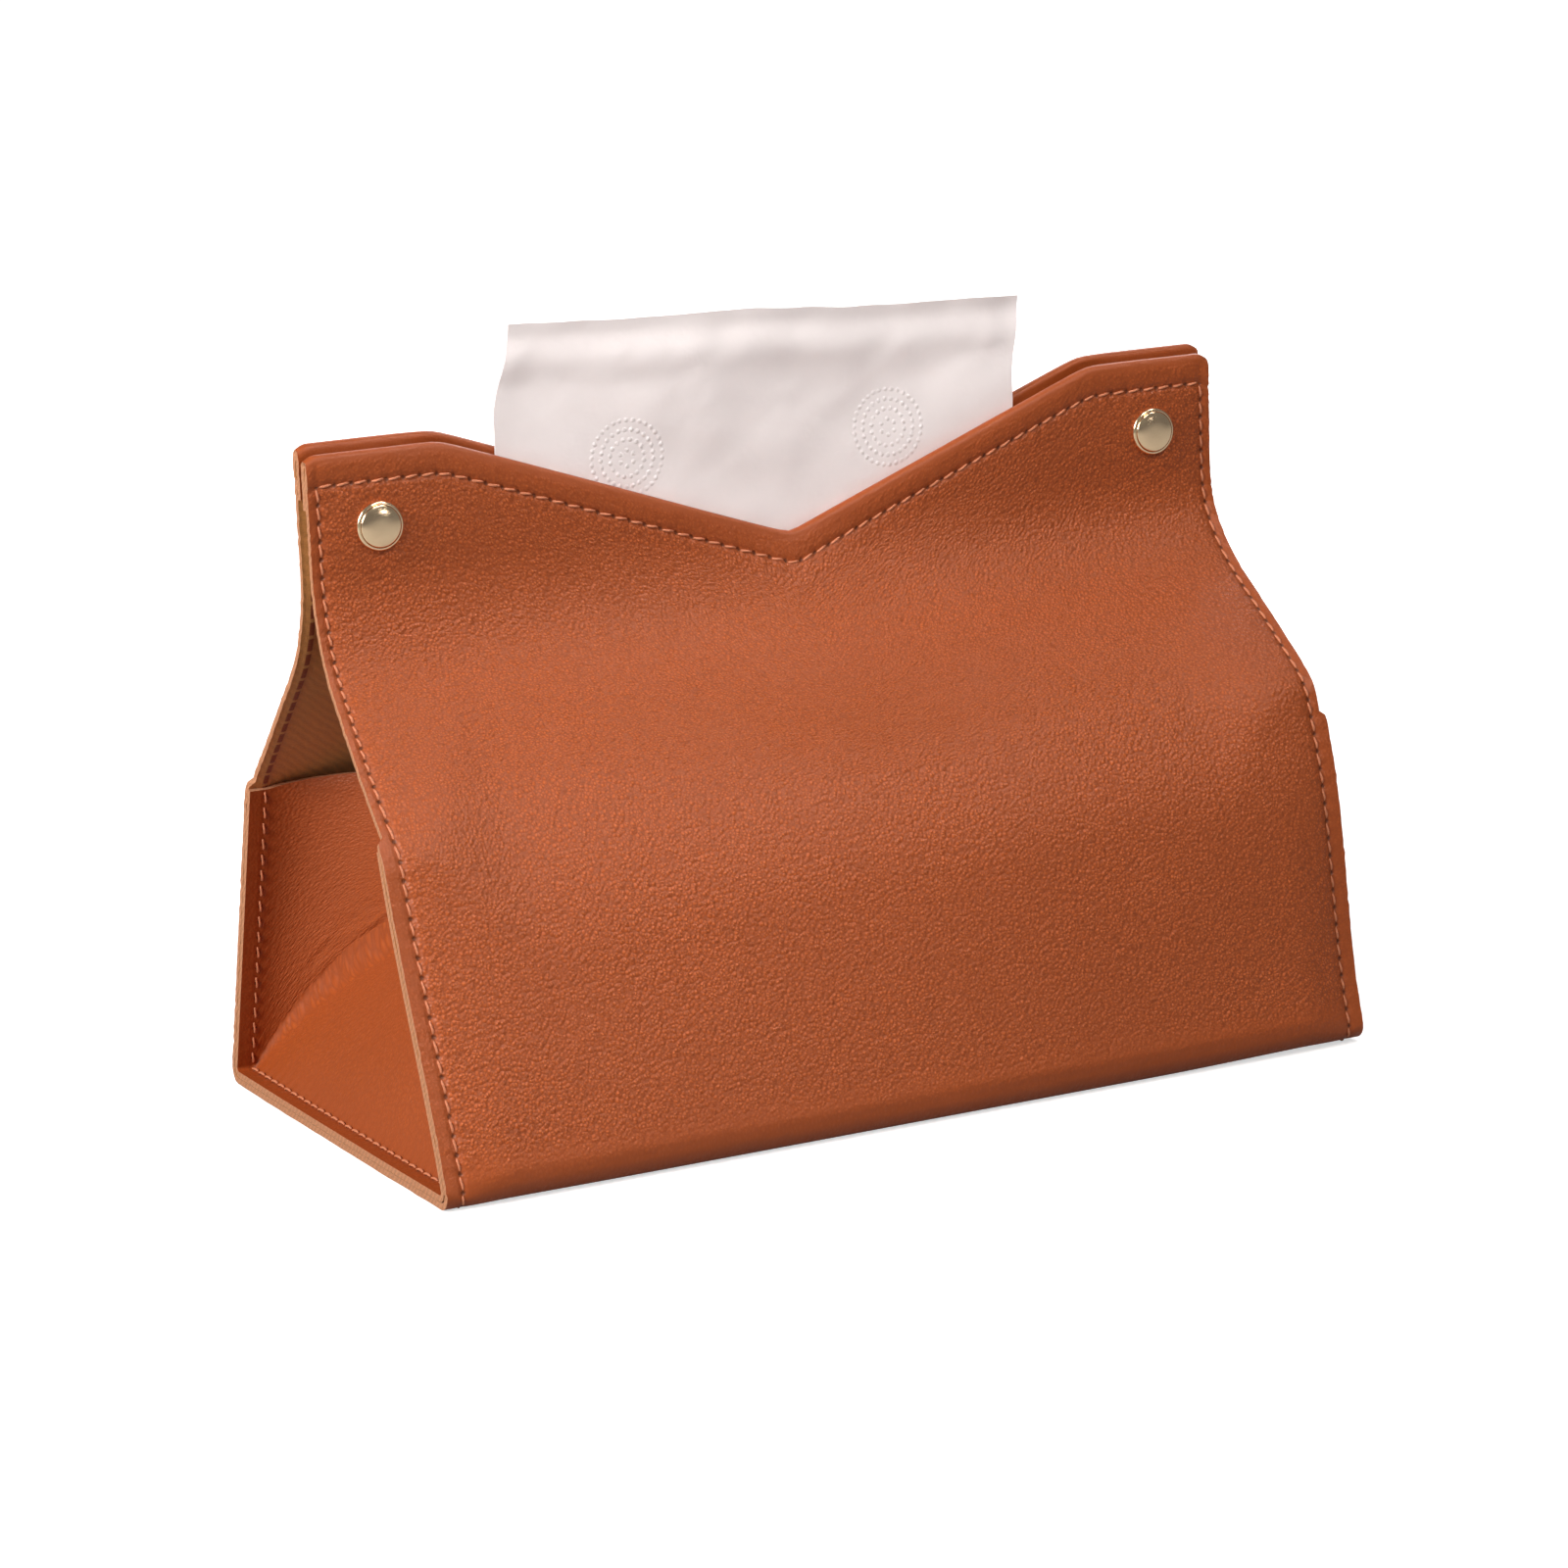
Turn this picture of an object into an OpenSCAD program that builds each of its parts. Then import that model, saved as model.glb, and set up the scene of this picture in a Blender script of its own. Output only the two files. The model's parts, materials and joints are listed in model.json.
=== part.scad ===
/* [Cover] */
// Length of the cover over the tips of its end seams
cover_length = 230; // [212:1:250]
// Room between the pack of tissues and each bottom fold
base_room = 17; // [14:1:23]
// How much less deep than the pack the cover is where the flaps fold
fold_draw = 7; // [0:1:12]
// Height at which the flaps fold, which is the height of the gussets
fold_height = 75; // [68:1:82]
// Height of the front corners of the mouth
mouth_height = 154; // [148:1:166]
// Thickness of the leather
leather = 1.5; // [1.2:0.1:1.8]
// Outside radius of the bottom folds
base_radius = 7; // [6:0.5:10]
/* [Flaps] */
// Length that the bend which brings a flap upright takes off each side of its corner
bend_run = 14.7; // [12:0.1:16]
// How far a flap's side edges stand in from the tips of the end seams
flap_step = 1.5; // [0.5:0.1:3]
// Play between a flap and the wall that it folds on
fold_play = 0.3; // [0.2:0.05:0.5]
// Gap between the two hems at the mouth
mouth_gap = 1.2; // [1.1:0.1:1.8]
// Length of the level top edge at each corner
corner_run = 32; // [28:1:44]
// Depth of the notch at the middle of the mouth
notch_depth = 30; // [18:1:34]
// Width of the turned hem
hem_width = 10.8; // [9:0.2:11]
// How much higher the back flap stands than the front flap
back_rise = 2; // [0:0.5:4]
/* [Gussets] */
// Room between each end of the pack and the middle fold of the gusset
pack_gap = 17.1; // [12:0.1:28]
// Height at which the creases from a gusset's two bottom corners meet
gusset_crease = 42; // [30:1:52]
// Width of the seam margin, from the stitches to the raw edges
seam_margin = 3.8; // [3:0.2:5]
// Play between the sewn layers
seam_play = 0.1; // [0.05:0.05:0.2]
/* [Press studs] */
// Distance of a press stud from the side edge of its flap
stud_inset = 16; // [13:0.5:20]
// Gap between a press stud's socket and the raw edge of the hem above it
stud_gap = 1.2; // [0.8:0.1:2]
// Distance from a press stud's cap down to the bend of the flap
cap_gap = 3.4; // [2:0.1:5]
// Diameter of the domed cap
cap_d = 11; // [10:0.5:11.5]
// Rise of the domed cap
cap_rise = 2.2; // [1.6:0.1:2.8]
// Diameter of the rivet on the back flap
rivet_d = 9; // [8:0.5:10]
// Rise of the rivet on the back flap
rivet_rise = 1.2; // [0.8:0.1:1.6]
// Outside diameter of the socket
socket_d = 9.4; // [9:0.2:10]
// Diameter of the socket's opening
socket_bore = 5.8; // [5.6:0.1:6]
// Thickness of the stud's base and of the socket's floor
plate = 0.6; // [0.5:0.05:0.7]
// Diameter of the stud's head
head_d = 3.2; // [2.9:0.1:3.3]
// Diameter of the stud's neck
neck_d = 2.6; // [2.2:0.1:2.8]
// Diameter of the posts that rivet the pieces through the leather
post_d = 1.6; // [1.4:0.1:1.8]
// Diameter of the spring wire
spring_wire = 0.5; // [0.4:0.05:0.6]
/* [Stitching] */
// Distance from one stitch to the next
stitch_pitch = 4; // [3.5:0.1:5]
// Length of the thread that shows at each stitch
stitch_length = 3; // [2.4:0.1:3.2]
// Diameter of the thread
thread_d = 0.6; // [0.4:0.05:0.7]
// Distance of the hem's stitches below the folded edge
hem_stitch = 6.8; // [5:0.1:7.5]
/* [Tissues] */
// Length of the pack, which is the width of one tissue
pack_length = 130; // [110:1:140]
// Depth of the pack, which is half the length of one tissue
pack_depth = 90; // [80:1:92]
// Height of the pack
pack_height = 50; // [30:1:54]
// Radius of the pack's folded long edges
pack_round = 5; // [3:0.5:8]
// How far the drawn tissue stands above the front corners of the mouth
tissue_rise = 22; // [10:1:40]
// Thickness of the drawn tissue
tissue_sheet = 0.5; // [0.4:0.05:0.6]
// Depth of the drawn tissue's waves above the mouth
tissue_wave = 1.6; // [0:0.1:3]

/* [Hidden] */
leather_colour = [0.68, 0.34, 0.2];
thread_colour = [0.8, 0.5, 0.36];
brass_colour = [0.87, 0.78, 0.58];
steel_colour = [0.75, 0.75, 0.74];
tissue_colour = [0.95, 0.92, 0.91];
round_facets = 64;
small_facets = 32;
thread_sides = 6;
square_sides = 4;
// How far a cut runs past the material that it cuts
overrun = 1;
// Play between a thread and the leather that it lies on
thread_play = 0.05;
// Play round the posts of the press studs
post_play = 0.05;
// Play between the stud's base and the socket's face, and of the tissue on its pack
contact_play = 0.3;
// How far a post's peened end spreads past its plate, and its thickness
peen = 0.3;
// Height of the straight rim of a cap and of a rivet
rim_height = 0.5;
// How much of the corners of a hem's fold is rounded off
fold_round = 1;
// The gap in the ring of spring wire, in degrees
spring_opening = 50;

// Cross-section of the cover. A point is its distance from the middle plane and its height.
half_length = cover_length / 2;
half_flap = half_length - flap_step;
base_depth = pack_depth + 2 * base_room;
fold_depth = pack_depth - fold_draw;
fold_point = [fold_depth / 2, fold_height];
base_centre = [base_depth / 2 - base_radius, base_radius];
fold_reach = fold_point - base_centre;
wall_lean = atan2(fold_reach.y, fold_reach.x) - acos(base_radius / norm(fold_reach));
mouth_face = mouth_gap / 2 + 2 * leather;
stud_x = half_flap - stud_inset;
stud_z = mouth_height - hem_width - stud_gap - socket_d / 2;
bend_top = stud_z - cap_d / 2 - cap_gap;
flap_lean = atan2(fold_point.x - mouth_face, bend_top - bend_run - fold_height);
half_turn = (flap_lean - wall_lean) / 2;
mean_lean = (flap_lean + wall_lean) / 2;
flap_bend = bend_run / tan(flap_lean / 2);
bend_centre = [mouth_face + flap_bend, bend_top];
base_steps = 6;
wall_steps = 4;
floor_steps = 4;
bend_steps = 12;

// Where the wall and the flap meet, at a depth below the outer face
function fold_at(inset) = fold_point - inset / cos(half_turn) * [cos(mean_lean), sin(mean_lean)];
// Where a wall starts above its base fold, and its place at a height above that
function wall_start(inset) = base_centre + (base_radius - inset) * [cos(wall_lean), sin(wall_lean)];
function wall_at(inset, z) = let (start = wall_start(inset))
    start + (z - start.y) * [-tan(wall_lean), 1];
// Half of the wrap's outline at a depth below its outer face, from the floor to a given end
function half_wrap(inset, top) = let (start = wall_start(inset))
    concat(
        [for (i = [0 : floor_steps - 1]) [base_centre.x * i / floor_steps, inset]],
        [for (i = [0 : base_steps - 1]) let (a = -90 + (90 + wall_lean) * i / base_steps)
            base_centre + (base_radius - inset) * [cos(a), sin(a)]],
        [for (i = [0 : wall_steps]) start + (top - start) * i / wall_steps]);
// The whole outline, from the front fold under the floor to the back fold
function whole(half) = concat(
    [for (i = [len(half) - 1 : -1 : 1]) [-half[i].x, half[i].y]],
    half);
function wrap_line(inset) = whole(half_wrap(inset,
    fold_at(inset) - fold_play / 2 * [-sin(wall_lean), cos(wall_lean)]));
// A flap's outline at a depth below its outer face, from the fold to a given height
function flap_line(inset, top) = concat(
    [fold_at(inset) + fold_play / 2 * [-sin(flap_lean), cos(flap_lean)]],
    [for (i = [0 : bend_steps]) let (a = 180 + flap_lean * (1 - i / bend_steps))
        bend_centre + (flap_bend + inset) * [cos(a), sin(a)]],
    [[mouth_face - inset, top]]);
// Distance of a flap's face from the middle plane, at a height above the start of the bend
function flap_face(inset, z) = z >= bend_top ? mouth_face - inset
    : bend_centre.x - sqrt(pow(flap_bend + inset, 2) - pow(bend_top - z, 2));
// Height of the mouth's folded edge at a place along the cover
function mouth_edge(x, top) = let (run = half_flap - corner_run)
    abs(x) > run ? top : top - notch_depth * (1 - abs(x) / run);

// Turns an outline in the cross-section into a solid along the cover
module along_cover(length) {
    rotate([90, 0, 90]) linear_extrude(height = length, center = true) children();
}
// Turns an outline seen from the front into a solid through the cover
module through_cover() {
    rotate([90, 0, 0]) linear_extrude(height = base_depth, center = true) children();
}
// The strip between two outlines
module strip(outer, inner) {
    polygon(concat(outer, [for (i = [len(inner) - 1 : -1 : 0]) inner[i]]));
}
module rod(from, to, d, facets) {
    run = to - from;
    translate(from) rotate([0, acos(run.z / norm(run)), atan2(run.y, run.x)])
        cylinder(h = norm(run), d = d, $fn = facets);
}

// Stitching: equal stitches along a path of points
function run_lengths(path) = [for (i = 0, s = 0; i < len(path);
    s = s + (i + 1 < len(path) ? norm(path[i + 1] - path[i]) : 0), i = i + 1) s];
function place_on(path, runs, s, i = 1) = (s <= runs[i] || i == len(path) - 1)
    ? path[i - 1] + (path[i] - path[i - 1]) * (s - runs[i - 1]) / (runs[i] - runs[i - 1])
    : place_on(path, runs, s, i + 1);
module stitches(path) {
    runs = run_lengths(path);
    total = runs[len(runs) - 1];
    count = floor(total / stitch_pitch);
    pitch = total / count;
    for (i = [0 : count - 1]) {
        start = (i + 1 / 2) * pitch - stitch_length / 2;
        rod(place_on(path, runs, start), place_on(path, runs, start + stitch_length),
            thread_d, thread_sides);
    }
}

// The wrap: one strip of leather that makes the front, the floor and the back
seam_x = half_length - seam_margin;
seam_inset = thread_play + thread_d / 2;
// How far a stitch, which is straight, cuts in where it crosses the round of a bottom fold
seam_radius = base_radius - seam_inset;
seam_low = seam_radius * cos((90 + wall_lean) / base_steps / 2);
stitch_sag = seam_radius - sqrt(pow(seam_low, 2) - pow(stitch_length / 2, 2));
groove_depth = thread_d + 2 * thread_play + stitch_sag;
module wrap_panel() {
    color(leather_colour) difference() {
        along_cover(cover_length) strip(wrap_line(0), wrap_line(leather));
        for (side = [-1, 1]) translate([side * seam_x, 0, 0])
            along_cover(2 * thread_d) strip(wrap_line(-overrun), wrap_line(groove_depth));
    }
}
module seam_thread(side) {
    line = wrap_line(seam_inset);
    color(thread_colour) stitches([for (p = line) [side * seam_x, p.x, p.y]]);
}

// A gusset: flanges sewn inside the wrap's edges, a flat triangle that rises from the floor,
// and above it two sides that run in beside the walls and meet in a rounded fold
gusset_root = seam_x - thread_d;
gusset_draw = gusset_root - leather - pack_gap - pack_length / 2;
gusset_steps = 8;
// How far a side has turned when it reaches the middle fold, in degrees
fold_turn = 90;
gusset_back = leather + seam_play;
gusset_face = gusset_back + leather;
gusset_top = fold_at(gusset_face).y - fold_play;
function gusset_half(inset) = half_wrap(inset, wall_at(inset, gusset_top));
// A point of the seam, drawn in: turn goes from 0 at the seam to 90 degrees at the middle fold
function drawn_in(p, inset, draw, turn) = let (
        low = inset + sin(turn) * (gusset_crease - inset),
        z = low + (p.y - inset) * (gusset_top - low) / (gusset_top - inset),
        y = p.x * cos(turn) * wall_at(inset, z).x / wall_at(inset, p.y).x)
    [gusset_root - draw * sin(turn), y, z];
function gusset_sheet(inset, draw) = let (half = gusset_half(inset), line = whole(half)) concat(
    [for (p = line) [half_length, p.x, p.y]],
    [for (j = [0 : gusset_steps - 1]) for (p = line)
        drawn_in(p, inset, draw, fold_turn * j / gusset_steps)],
    [for (i = [floor_steps : len(half) - 1]) drawn_in(half[i], inset, draw, fold_turn)]);
module right_gusset_shell() {
    face = gusset_sheet(gusset_face, gusset_draw);
    back = gusset_sheet(gusset_back, gusset_draw + leather);
    middle = len(gusset_half(0)) - 1;
    n = 2 * middle + 1;
    size = len(face);
    fold = (gusset_steps + 1) * n;
    // The number of the point on the middle fold that a point of the last ring meets
    on_fold = [for (k = [0 : n - 1]) fold + max(abs(k - middle) - floor_steps, 0)];
    // Each square of the sheet as two triangles
    sheet = concat(
        [for (j = [0 : gusset_steps - 1]) for (k = [0 : n - 2]) let (a = j * n + k, b = a + n)
            each [[a, a + 1, b], [a + 1, b + 1, b]]],
        [for (k = [0 : n - 2]) let (a = gusset_steps * n + k) [a, a + 1, on_fold[k]]],
        [for (k = [0 : n - 2]) if (on_fold[k] != on_fold[k + 1])
            [gusset_steps * n + k + 1, on_fold[k + 1], on_fold[k]]]);
    // The raw edges: the tip of the flanges, and the top edge on both sides of the middle fold
    tip = [for (k = [0 : n - 2]) k];
    edge = concat([for (j = [0 : gusset_steps]) j * n], [size - 1]);
    far_edge = concat([for (j = [0 : gusset_steps]) j * n + n - 1], [size - 1]);
    polyhedron(points = concat(face, back), faces = concat(
        [for (f = sheet) [f[2], f[1], f[0]]],
        [for (f = sheet) [f[0] + size, f[1] + size, f[2] + size]],
        [for (k = tip) each [[k, k + 1, k + size], [k + 1, k + 1 + size, k + size]]],
        [for (i = [0 : len(edge) - 2]) let (a = edge[i], b = edge[i + 1])
            each [[a, a + size, b], [b, a + size, b + size]]],
        [for (i = [0 : len(far_edge) - 2]) let (a = far_edge[i], b = far_edge[i + 1])
            each [[a, b, a + size], [b, b + size, a + size]]]));
}
module right_gusset() {
    color(leather_colour) right_gusset_shell();
}
module left_gusset() {
    color(leather_colour) mirror([1, 0, 0]) right_gusset_shell();
}
module bobbin_thread(side) {
    inset = gusset_face + thread_play + thread_d / 2;
    line = whole(half_wrap(inset, wall_at(inset, gusset_top - thread_d)));
    color(thread_colour) stitches([for (p = line) [side * seam_x, p.x, p.y]]);
}

// A flap: one layer of leather, with a hem turned in along the mouth
module mouth_band(top, low) {
    run = half_flap - corner_run;
    polygon([[-half_flap, top], [-run, top], [0, top - notch_depth], [run, top], [half_flap, top],
        [half_flap, top - low], [run, top - low], [0, top - notch_depth - low],
        [-run, top - low], [-half_flap, top - low]]);
}
module back_flap_shell(top) {
    run = half_flap - corner_run;
    // Places along the folded edge, with the cuts run past the ends and into the notch
    rise = [run, notch_depth] / norm([run, notch_depth]);
    edge = [[-half_flap - overrun, top], [-run, top], [fold_round * rise.x / 2, top - notch_depth
        - fold_round * rise.y / 2]];
    difference() {
        union() {
            intersection() {
                along_cover(2 * half_flap) strip(flap_line(0, top), flap_line(leather, top));
                through_cover() mouth_band(top, top);
            }
            intersection() {
                along_cover(2 * half_flap) strip(flap_line(leather, top), flap_line(2 * leather, top));
                through_cover() mouth_band(top, hem_width);
            }
        }
        for (side = [-1, 1]) for (face = [mouth_face, mouth_gap / 2]) for (i = [0, 1])
            rod([side * edge[i].x, face, edge[i].y], [side * edge[i + 1].x, face, edge[i + 1].y],
                2 * fold_round, square_sides);
        for (side = [-1, 1]) translate([side * stud_x, mouth_face, stud_z]) rotate([90, 0, 0])
            cylinder(h = 2 * overrun + 2 * leather, d = post_d + 2 * post_play, center = true,
                $fn = small_facets);
    }
}
module back_flap() {
    color(leather_colour) back_flap_shell(mouth_height + back_rise);
}
module front_flap() {
    color(leather_colour) mirror([0, 1, 0]) back_flap_shell(mouth_height);
}
// The stitches of a flap: up one side edge, along the hem, and down the other side edge
hem_steps = 6;
module hem_thread(way, top) {
    inset = -thread_play - thread_d / 2;
    line_top = top - hem_stitch;
    run = half_flap - corner_run;
    edge = [for (p = flap_line(inset, line_top)) [seam_x, way * p.x, p.y]];
    hem = [for (i = [0 : 2 * hem_steps]) let (
            x = run * (1 - i / hem_steps),
            z = mouth_edge(x, top) - hem_stitch)
        [x, way * flap_face(inset, z), z]];
    other_edge = [for (i = [len(edge) - 1 : -1 : 0]) [-seam_x, edge[i].y, edge[i].z]];
    color(thread_colour) stitches(concat(edge, hem, other_edge));
}

// Press studs. Each piece is drawn along Z and turned to point through the flaps.
inner_gap = mouth_gap + 2 * leather;
single_face = inner_gap / 2;
socket_height = inner_gap - plate - contact_play;
// How far the stud's head reaches into the socket, and where a ball is cut to make the head
head_reach = 1.8;
head_top_share = 0.25;
head_low_share = 0.3;
groove_height = spring_wire + 2 * post_play;
module at_stud(side, y, way) {
    translate([side * stud_x, y, stud_z]) rotate([way * 90, 0, 0]) children();
}
// A domed cap over a rim, with a post that is peened beyond a plate
module riveted_cap(d, rise) {
    dome = rise - rim_height;
    ball = (d * d / 4 + dome * dome) / (2 * dome);
    cylinder(h = rim_height, d = d, $fn = round_facets);
    translate([0, 0, rim_height]) intersection() {
        cylinder(h = dome, d = d, $fn = round_facets);
        translate([0, 0, dome - ball]) sphere(r = ball, $fn = round_facets);
    }
    translate([0, 0, -leather - plate]) cylinder(h = leather + plate, d = post_d, $fn = small_facets);
    translate([0, 0, -leather - plate - peen])
        cylinder(h = peen, d = post_d + 2 * peen, $fn = small_facets);
}
module snap_cap(side) {
    color(brass_colour) at_stud(side, -mouth_face, 1) riveted_cap(cap_d, cap_rise);
}
module snap_socket(side) {
    color(steel_colour) at_stud(side, -single_face, -1) difference() {
        cylinder(h = socket_height, d = socket_d, $fn = round_facets);
        translate([0, 0, plate]) cylinder(h = socket_height, d = socket_bore, $fn = round_facets);
        translate([0, 0, socket_height - plate - groove_height])
            cylinder(h = groove_height, d = socket_bore + 2 * groove_height, $fn = round_facets);
        translate([0, 0, -overrun])
            cylinder(h = plate + 2 * overrun, d = post_d + 2 * post_play, $fn = small_facets);
    }
}
module snap_spring(side) {
    ring = socket_bore / 2 + post_play + spring_wire / 2;
    color(steel_colour) at_stud(side, -single_face, -1)
        translate([0, 0, socket_height - plate - groove_height / 2])
        rotate([0, 0, spring_opening / 2]) rotate_extrude(angle = 360 - spring_opening, $fn = round_facets)
        translate([ring, 0]) circle(d = spring_wire, $fn = small_facets);
}
module snap_stud(side) {
    head_z = inner_gap - socket_height + head_reach - head_d * head_top_share;
    color(steel_colour) at_stud(side, single_face, 1) difference() {
        union() {
            cylinder(h = plate, d = rivet_d, $fn = round_facets);
            cylinder(h = head_z, d = neck_d, $fn = small_facets);
            translate([0, 0, head_z]) intersection() {
                sphere(d = head_d, $fn = small_facets);
                translate([0, 0, -head_d * head_low_share])
                    cylinder(h = head_d * (head_low_share + head_top_share), d = head_d,
                        $fn = small_facets);
            }
        }
        translate([0, 0, -overrun])
            cylinder(h = overrun + plate + peen + post_play, d = post_d + 2 * post_play,
                $fn = small_facets);
    }
}
module snap_rivet(side) {
    color(steel_colour) at_stud(side, mouth_face, -1) {
        cylinder(h = rim_height, d = rivet_d, $fn = round_facets);
        translate([0, 0, rim_height])
            cylinder(h = rivet_rise - rim_height, d1 = rivet_d - 2 * peen, d2 = rivet_d - 2 * rivet_rise,
                $fn = round_facets);
        translate([0, 0, -leather - plate - peen])
            cylinder(h = leather + plate + peen, d = post_d, $fn = small_facets);
    }
}

// The pack of folded tissues, which stands on the floor of the wrap
pack_top = leather + pack_height;
module tissue_pack() {
    half = pack_depth / 2 - pack_round;
    color(tissue_colour) along_cover(pack_length) union() {
        for (side = [-1, 1]) for (z = [leather + pack_round, pack_top - pack_round])
            translate([side * half, z]) circle(r = pack_round, $fn = small_facets);
        translate([-half, leather]) square([2 * half, pack_height]);
        translate([-half - pack_round, leather + pack_round])
            square([pack_depth, pack_height - 2 * pack_round]);
    }
}
// The drawn tissue: straight through the mouth, and gently waved above it.
// The shares are of its half width for the side edges and of its rise for the top edge.
tissue_cols = 12;
tissue_rows = 14;
left_edge_shares = [1, 1, 1, 1.02, 1.035, 1, 0.96];
right_edge_shares = [1, 1, 1, 0.98, 0.955, 1, 1];
top_edge_shares = [1.06, 1, 0.92, 0.86, 0.82, 0.86, 0.9, 0.94, 0.82];
// How far the waves turn across the tissue and up it, and the finer waves across it, in degrees
wave_across = 360;
wave_up = 200;
fine_across = 500;
function share_at(shares, u) = let (
        s = u * (len(shares) - 1),
        i = min(floor(s), len(shares) - 2))
    shares[i] + (shares[i + 1] - shares[i]) * (s - i);
function ease(t) = let (c = min(max(t, 0), 1)) c * c * (3 - 2 * c);
function tissue_point(u, v, face) = let (
        low = pack_top + contact_play,
        high = mouth_height + tissue_rise * share_at(top_edge_shares, u),
        z = low + (high - low) * v,
        left = -pack_length / 2 * share_at(left_edge_shares, v),
        right = pack_length / 2 * share_at(right_edge_shares, v),
        x = left + (right - left) * u,
        free = ease((z - mouth_edge(x, mouth_height + back_rise)) / tissue_rise),
        wave = tissue_wave * free * (sin(wave_across * u + wave_up * v) + cos(fine_across * u)) / 2)
    [x, wave + face * tissue_sheet / 2, z];
module drawn_tissue() {
    side = [for (face = [-1, 1]) for (j = [0 : tissue_rows]) for (i = [0 : tissue_cols])
        tissue_point(i / tissue_cols, j / tissue_rows, face)];
    n = tissue_cols + 1;
    size = n * (tissue_rows + 1);
    squares = [for (j = [0 : tissue_rows - 1]) for (i = [0 : tissue_cols - 1]) j * n + i];
    rim = concat([for (i = [0 : tissue_cols]) i],
        [for (j = [1 : tissue_rows]) j * n + tissue_cols],
        [for (i = [tissue_cols - 1 : -1 : 0]) tissue_rows * n + i],
        [for (j = [tissue_rows - 1 : -1 : 1]) j * n]);
    color(tissue_colour) polyhedron(points = side, faces = concat(
        [for (a = squares) each [[a, a + n, a + 1], [a + 1, a + n, a + n + 1]]],
        [for (a = squares) let (b = a + size) each [[b, b + 1, b + n], [b + 1, b + n + 1, b + n]]],
        [for (k = [0 : len(rim) - 1]) let (a = rim[k], b = rim[(k + 1) % len(rim)])
            each [[a, b, a + size], [b, b + size, a + size]]]));
}

wrap_panel();
left_gusset();
right_gusset();
seam_thread(-1);  // left_seam_thread
seam_thread(1);  // right_seam_thread
bobbin_thread(-1);  // left_bobbin_thread
bobbin_thread(1);  // right_bobbin_thread
front_flap();
back_flap();
hem_thread(-1, mouth_height);  // front_hem_thread
hem_thread(1, mouth_height + back_rise);  // back_hem_thread
snap_cap(-1);  // left_snap_cap
snap_cap(1);  // right_snap_cap
snap_socket(-1);  // left_snap_socket
snap_socket(1);  // right_snap_socket
snap_spring(-1);  // left_snap_spring
snap_spring(1);  // right_snap_spring
snap_stud(-1);  // left_snap_stud
snap_stud(1);  // right_snap_stud
snap_rivet(-1);  // left_snap_rivet
snap_rivet(1);  // right_snap_rivet
tissue_pack();
drawn_tissue();
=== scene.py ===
"""A sewn leather cover for a soft pack of tissues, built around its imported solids."""

import json
import math
import random

import bmesh
import bpy
from bpy.props import FloatProperty, FloatVectorProperty, IntProperty, PointerProperty
from mathutils import Matrix, Vector, noise
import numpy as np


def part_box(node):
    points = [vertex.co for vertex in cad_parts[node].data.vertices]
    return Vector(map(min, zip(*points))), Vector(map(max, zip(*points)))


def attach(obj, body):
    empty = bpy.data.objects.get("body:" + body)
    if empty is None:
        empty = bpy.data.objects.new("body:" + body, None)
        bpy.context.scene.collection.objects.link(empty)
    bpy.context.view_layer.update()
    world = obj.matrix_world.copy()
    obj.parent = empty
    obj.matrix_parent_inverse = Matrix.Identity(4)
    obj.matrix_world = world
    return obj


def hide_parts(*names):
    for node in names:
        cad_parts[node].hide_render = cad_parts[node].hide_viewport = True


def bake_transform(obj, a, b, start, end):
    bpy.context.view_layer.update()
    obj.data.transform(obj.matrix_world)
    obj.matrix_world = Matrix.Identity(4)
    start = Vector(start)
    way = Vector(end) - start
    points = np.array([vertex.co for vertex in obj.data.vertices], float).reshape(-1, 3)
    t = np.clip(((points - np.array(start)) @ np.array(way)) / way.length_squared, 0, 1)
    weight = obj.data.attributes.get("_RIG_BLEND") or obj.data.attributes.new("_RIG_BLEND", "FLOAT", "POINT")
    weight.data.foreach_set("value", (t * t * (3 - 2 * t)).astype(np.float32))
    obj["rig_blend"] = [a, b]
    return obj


bl_info = {
    "name": "Leather tissue cover",
    "version": (1, 0, 0),
    "blender": (4, 5, 0),
    "location": "View3D > Sidebar > Tissue cover",
    "description": "Builds a sewn leather tissue cover with press studs and its tissues",
    "category": "Add Mesh",
}

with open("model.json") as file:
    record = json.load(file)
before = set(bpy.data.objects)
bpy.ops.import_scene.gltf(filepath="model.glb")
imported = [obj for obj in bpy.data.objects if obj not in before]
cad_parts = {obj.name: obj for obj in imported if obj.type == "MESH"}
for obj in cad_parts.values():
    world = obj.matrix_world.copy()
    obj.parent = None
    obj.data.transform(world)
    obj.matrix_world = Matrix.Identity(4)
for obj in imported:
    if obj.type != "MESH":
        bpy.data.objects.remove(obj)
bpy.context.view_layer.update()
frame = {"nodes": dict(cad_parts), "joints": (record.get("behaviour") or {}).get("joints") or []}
MM = 0.001

# Places that come from the solids
WRAP_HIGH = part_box("wrap_panel")[1]
FRONT_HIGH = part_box("front_flap")[1]
BACK_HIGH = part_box("back_flap")[1]
CAP_LOW, CAP_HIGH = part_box("left_snap_cap")
PACK_LOW, PACK_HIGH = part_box("tissue_pack")
TISSUE_LOW, TISSUE_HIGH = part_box("drawn_tissue")
GUSSET_LOW, GUSSET_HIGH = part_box("right_gusset")
JOINTS = {j["name"]: j for j in frame["joints"]}
FOLD_D = -JOINTS["front_flap_fold"]["pos_m"][1]
FOLD_Z = JOINTS["front_flap_fold"]["pos_m"][2]
HALF_LENGTH = WRAP_HIGH.x
HALF_FLAP = FRONT_HIGH.x
HALF_DEPTH = WRAP_HIGH.y
HALF_GAP = -FRONT_HIGH.y
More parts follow.
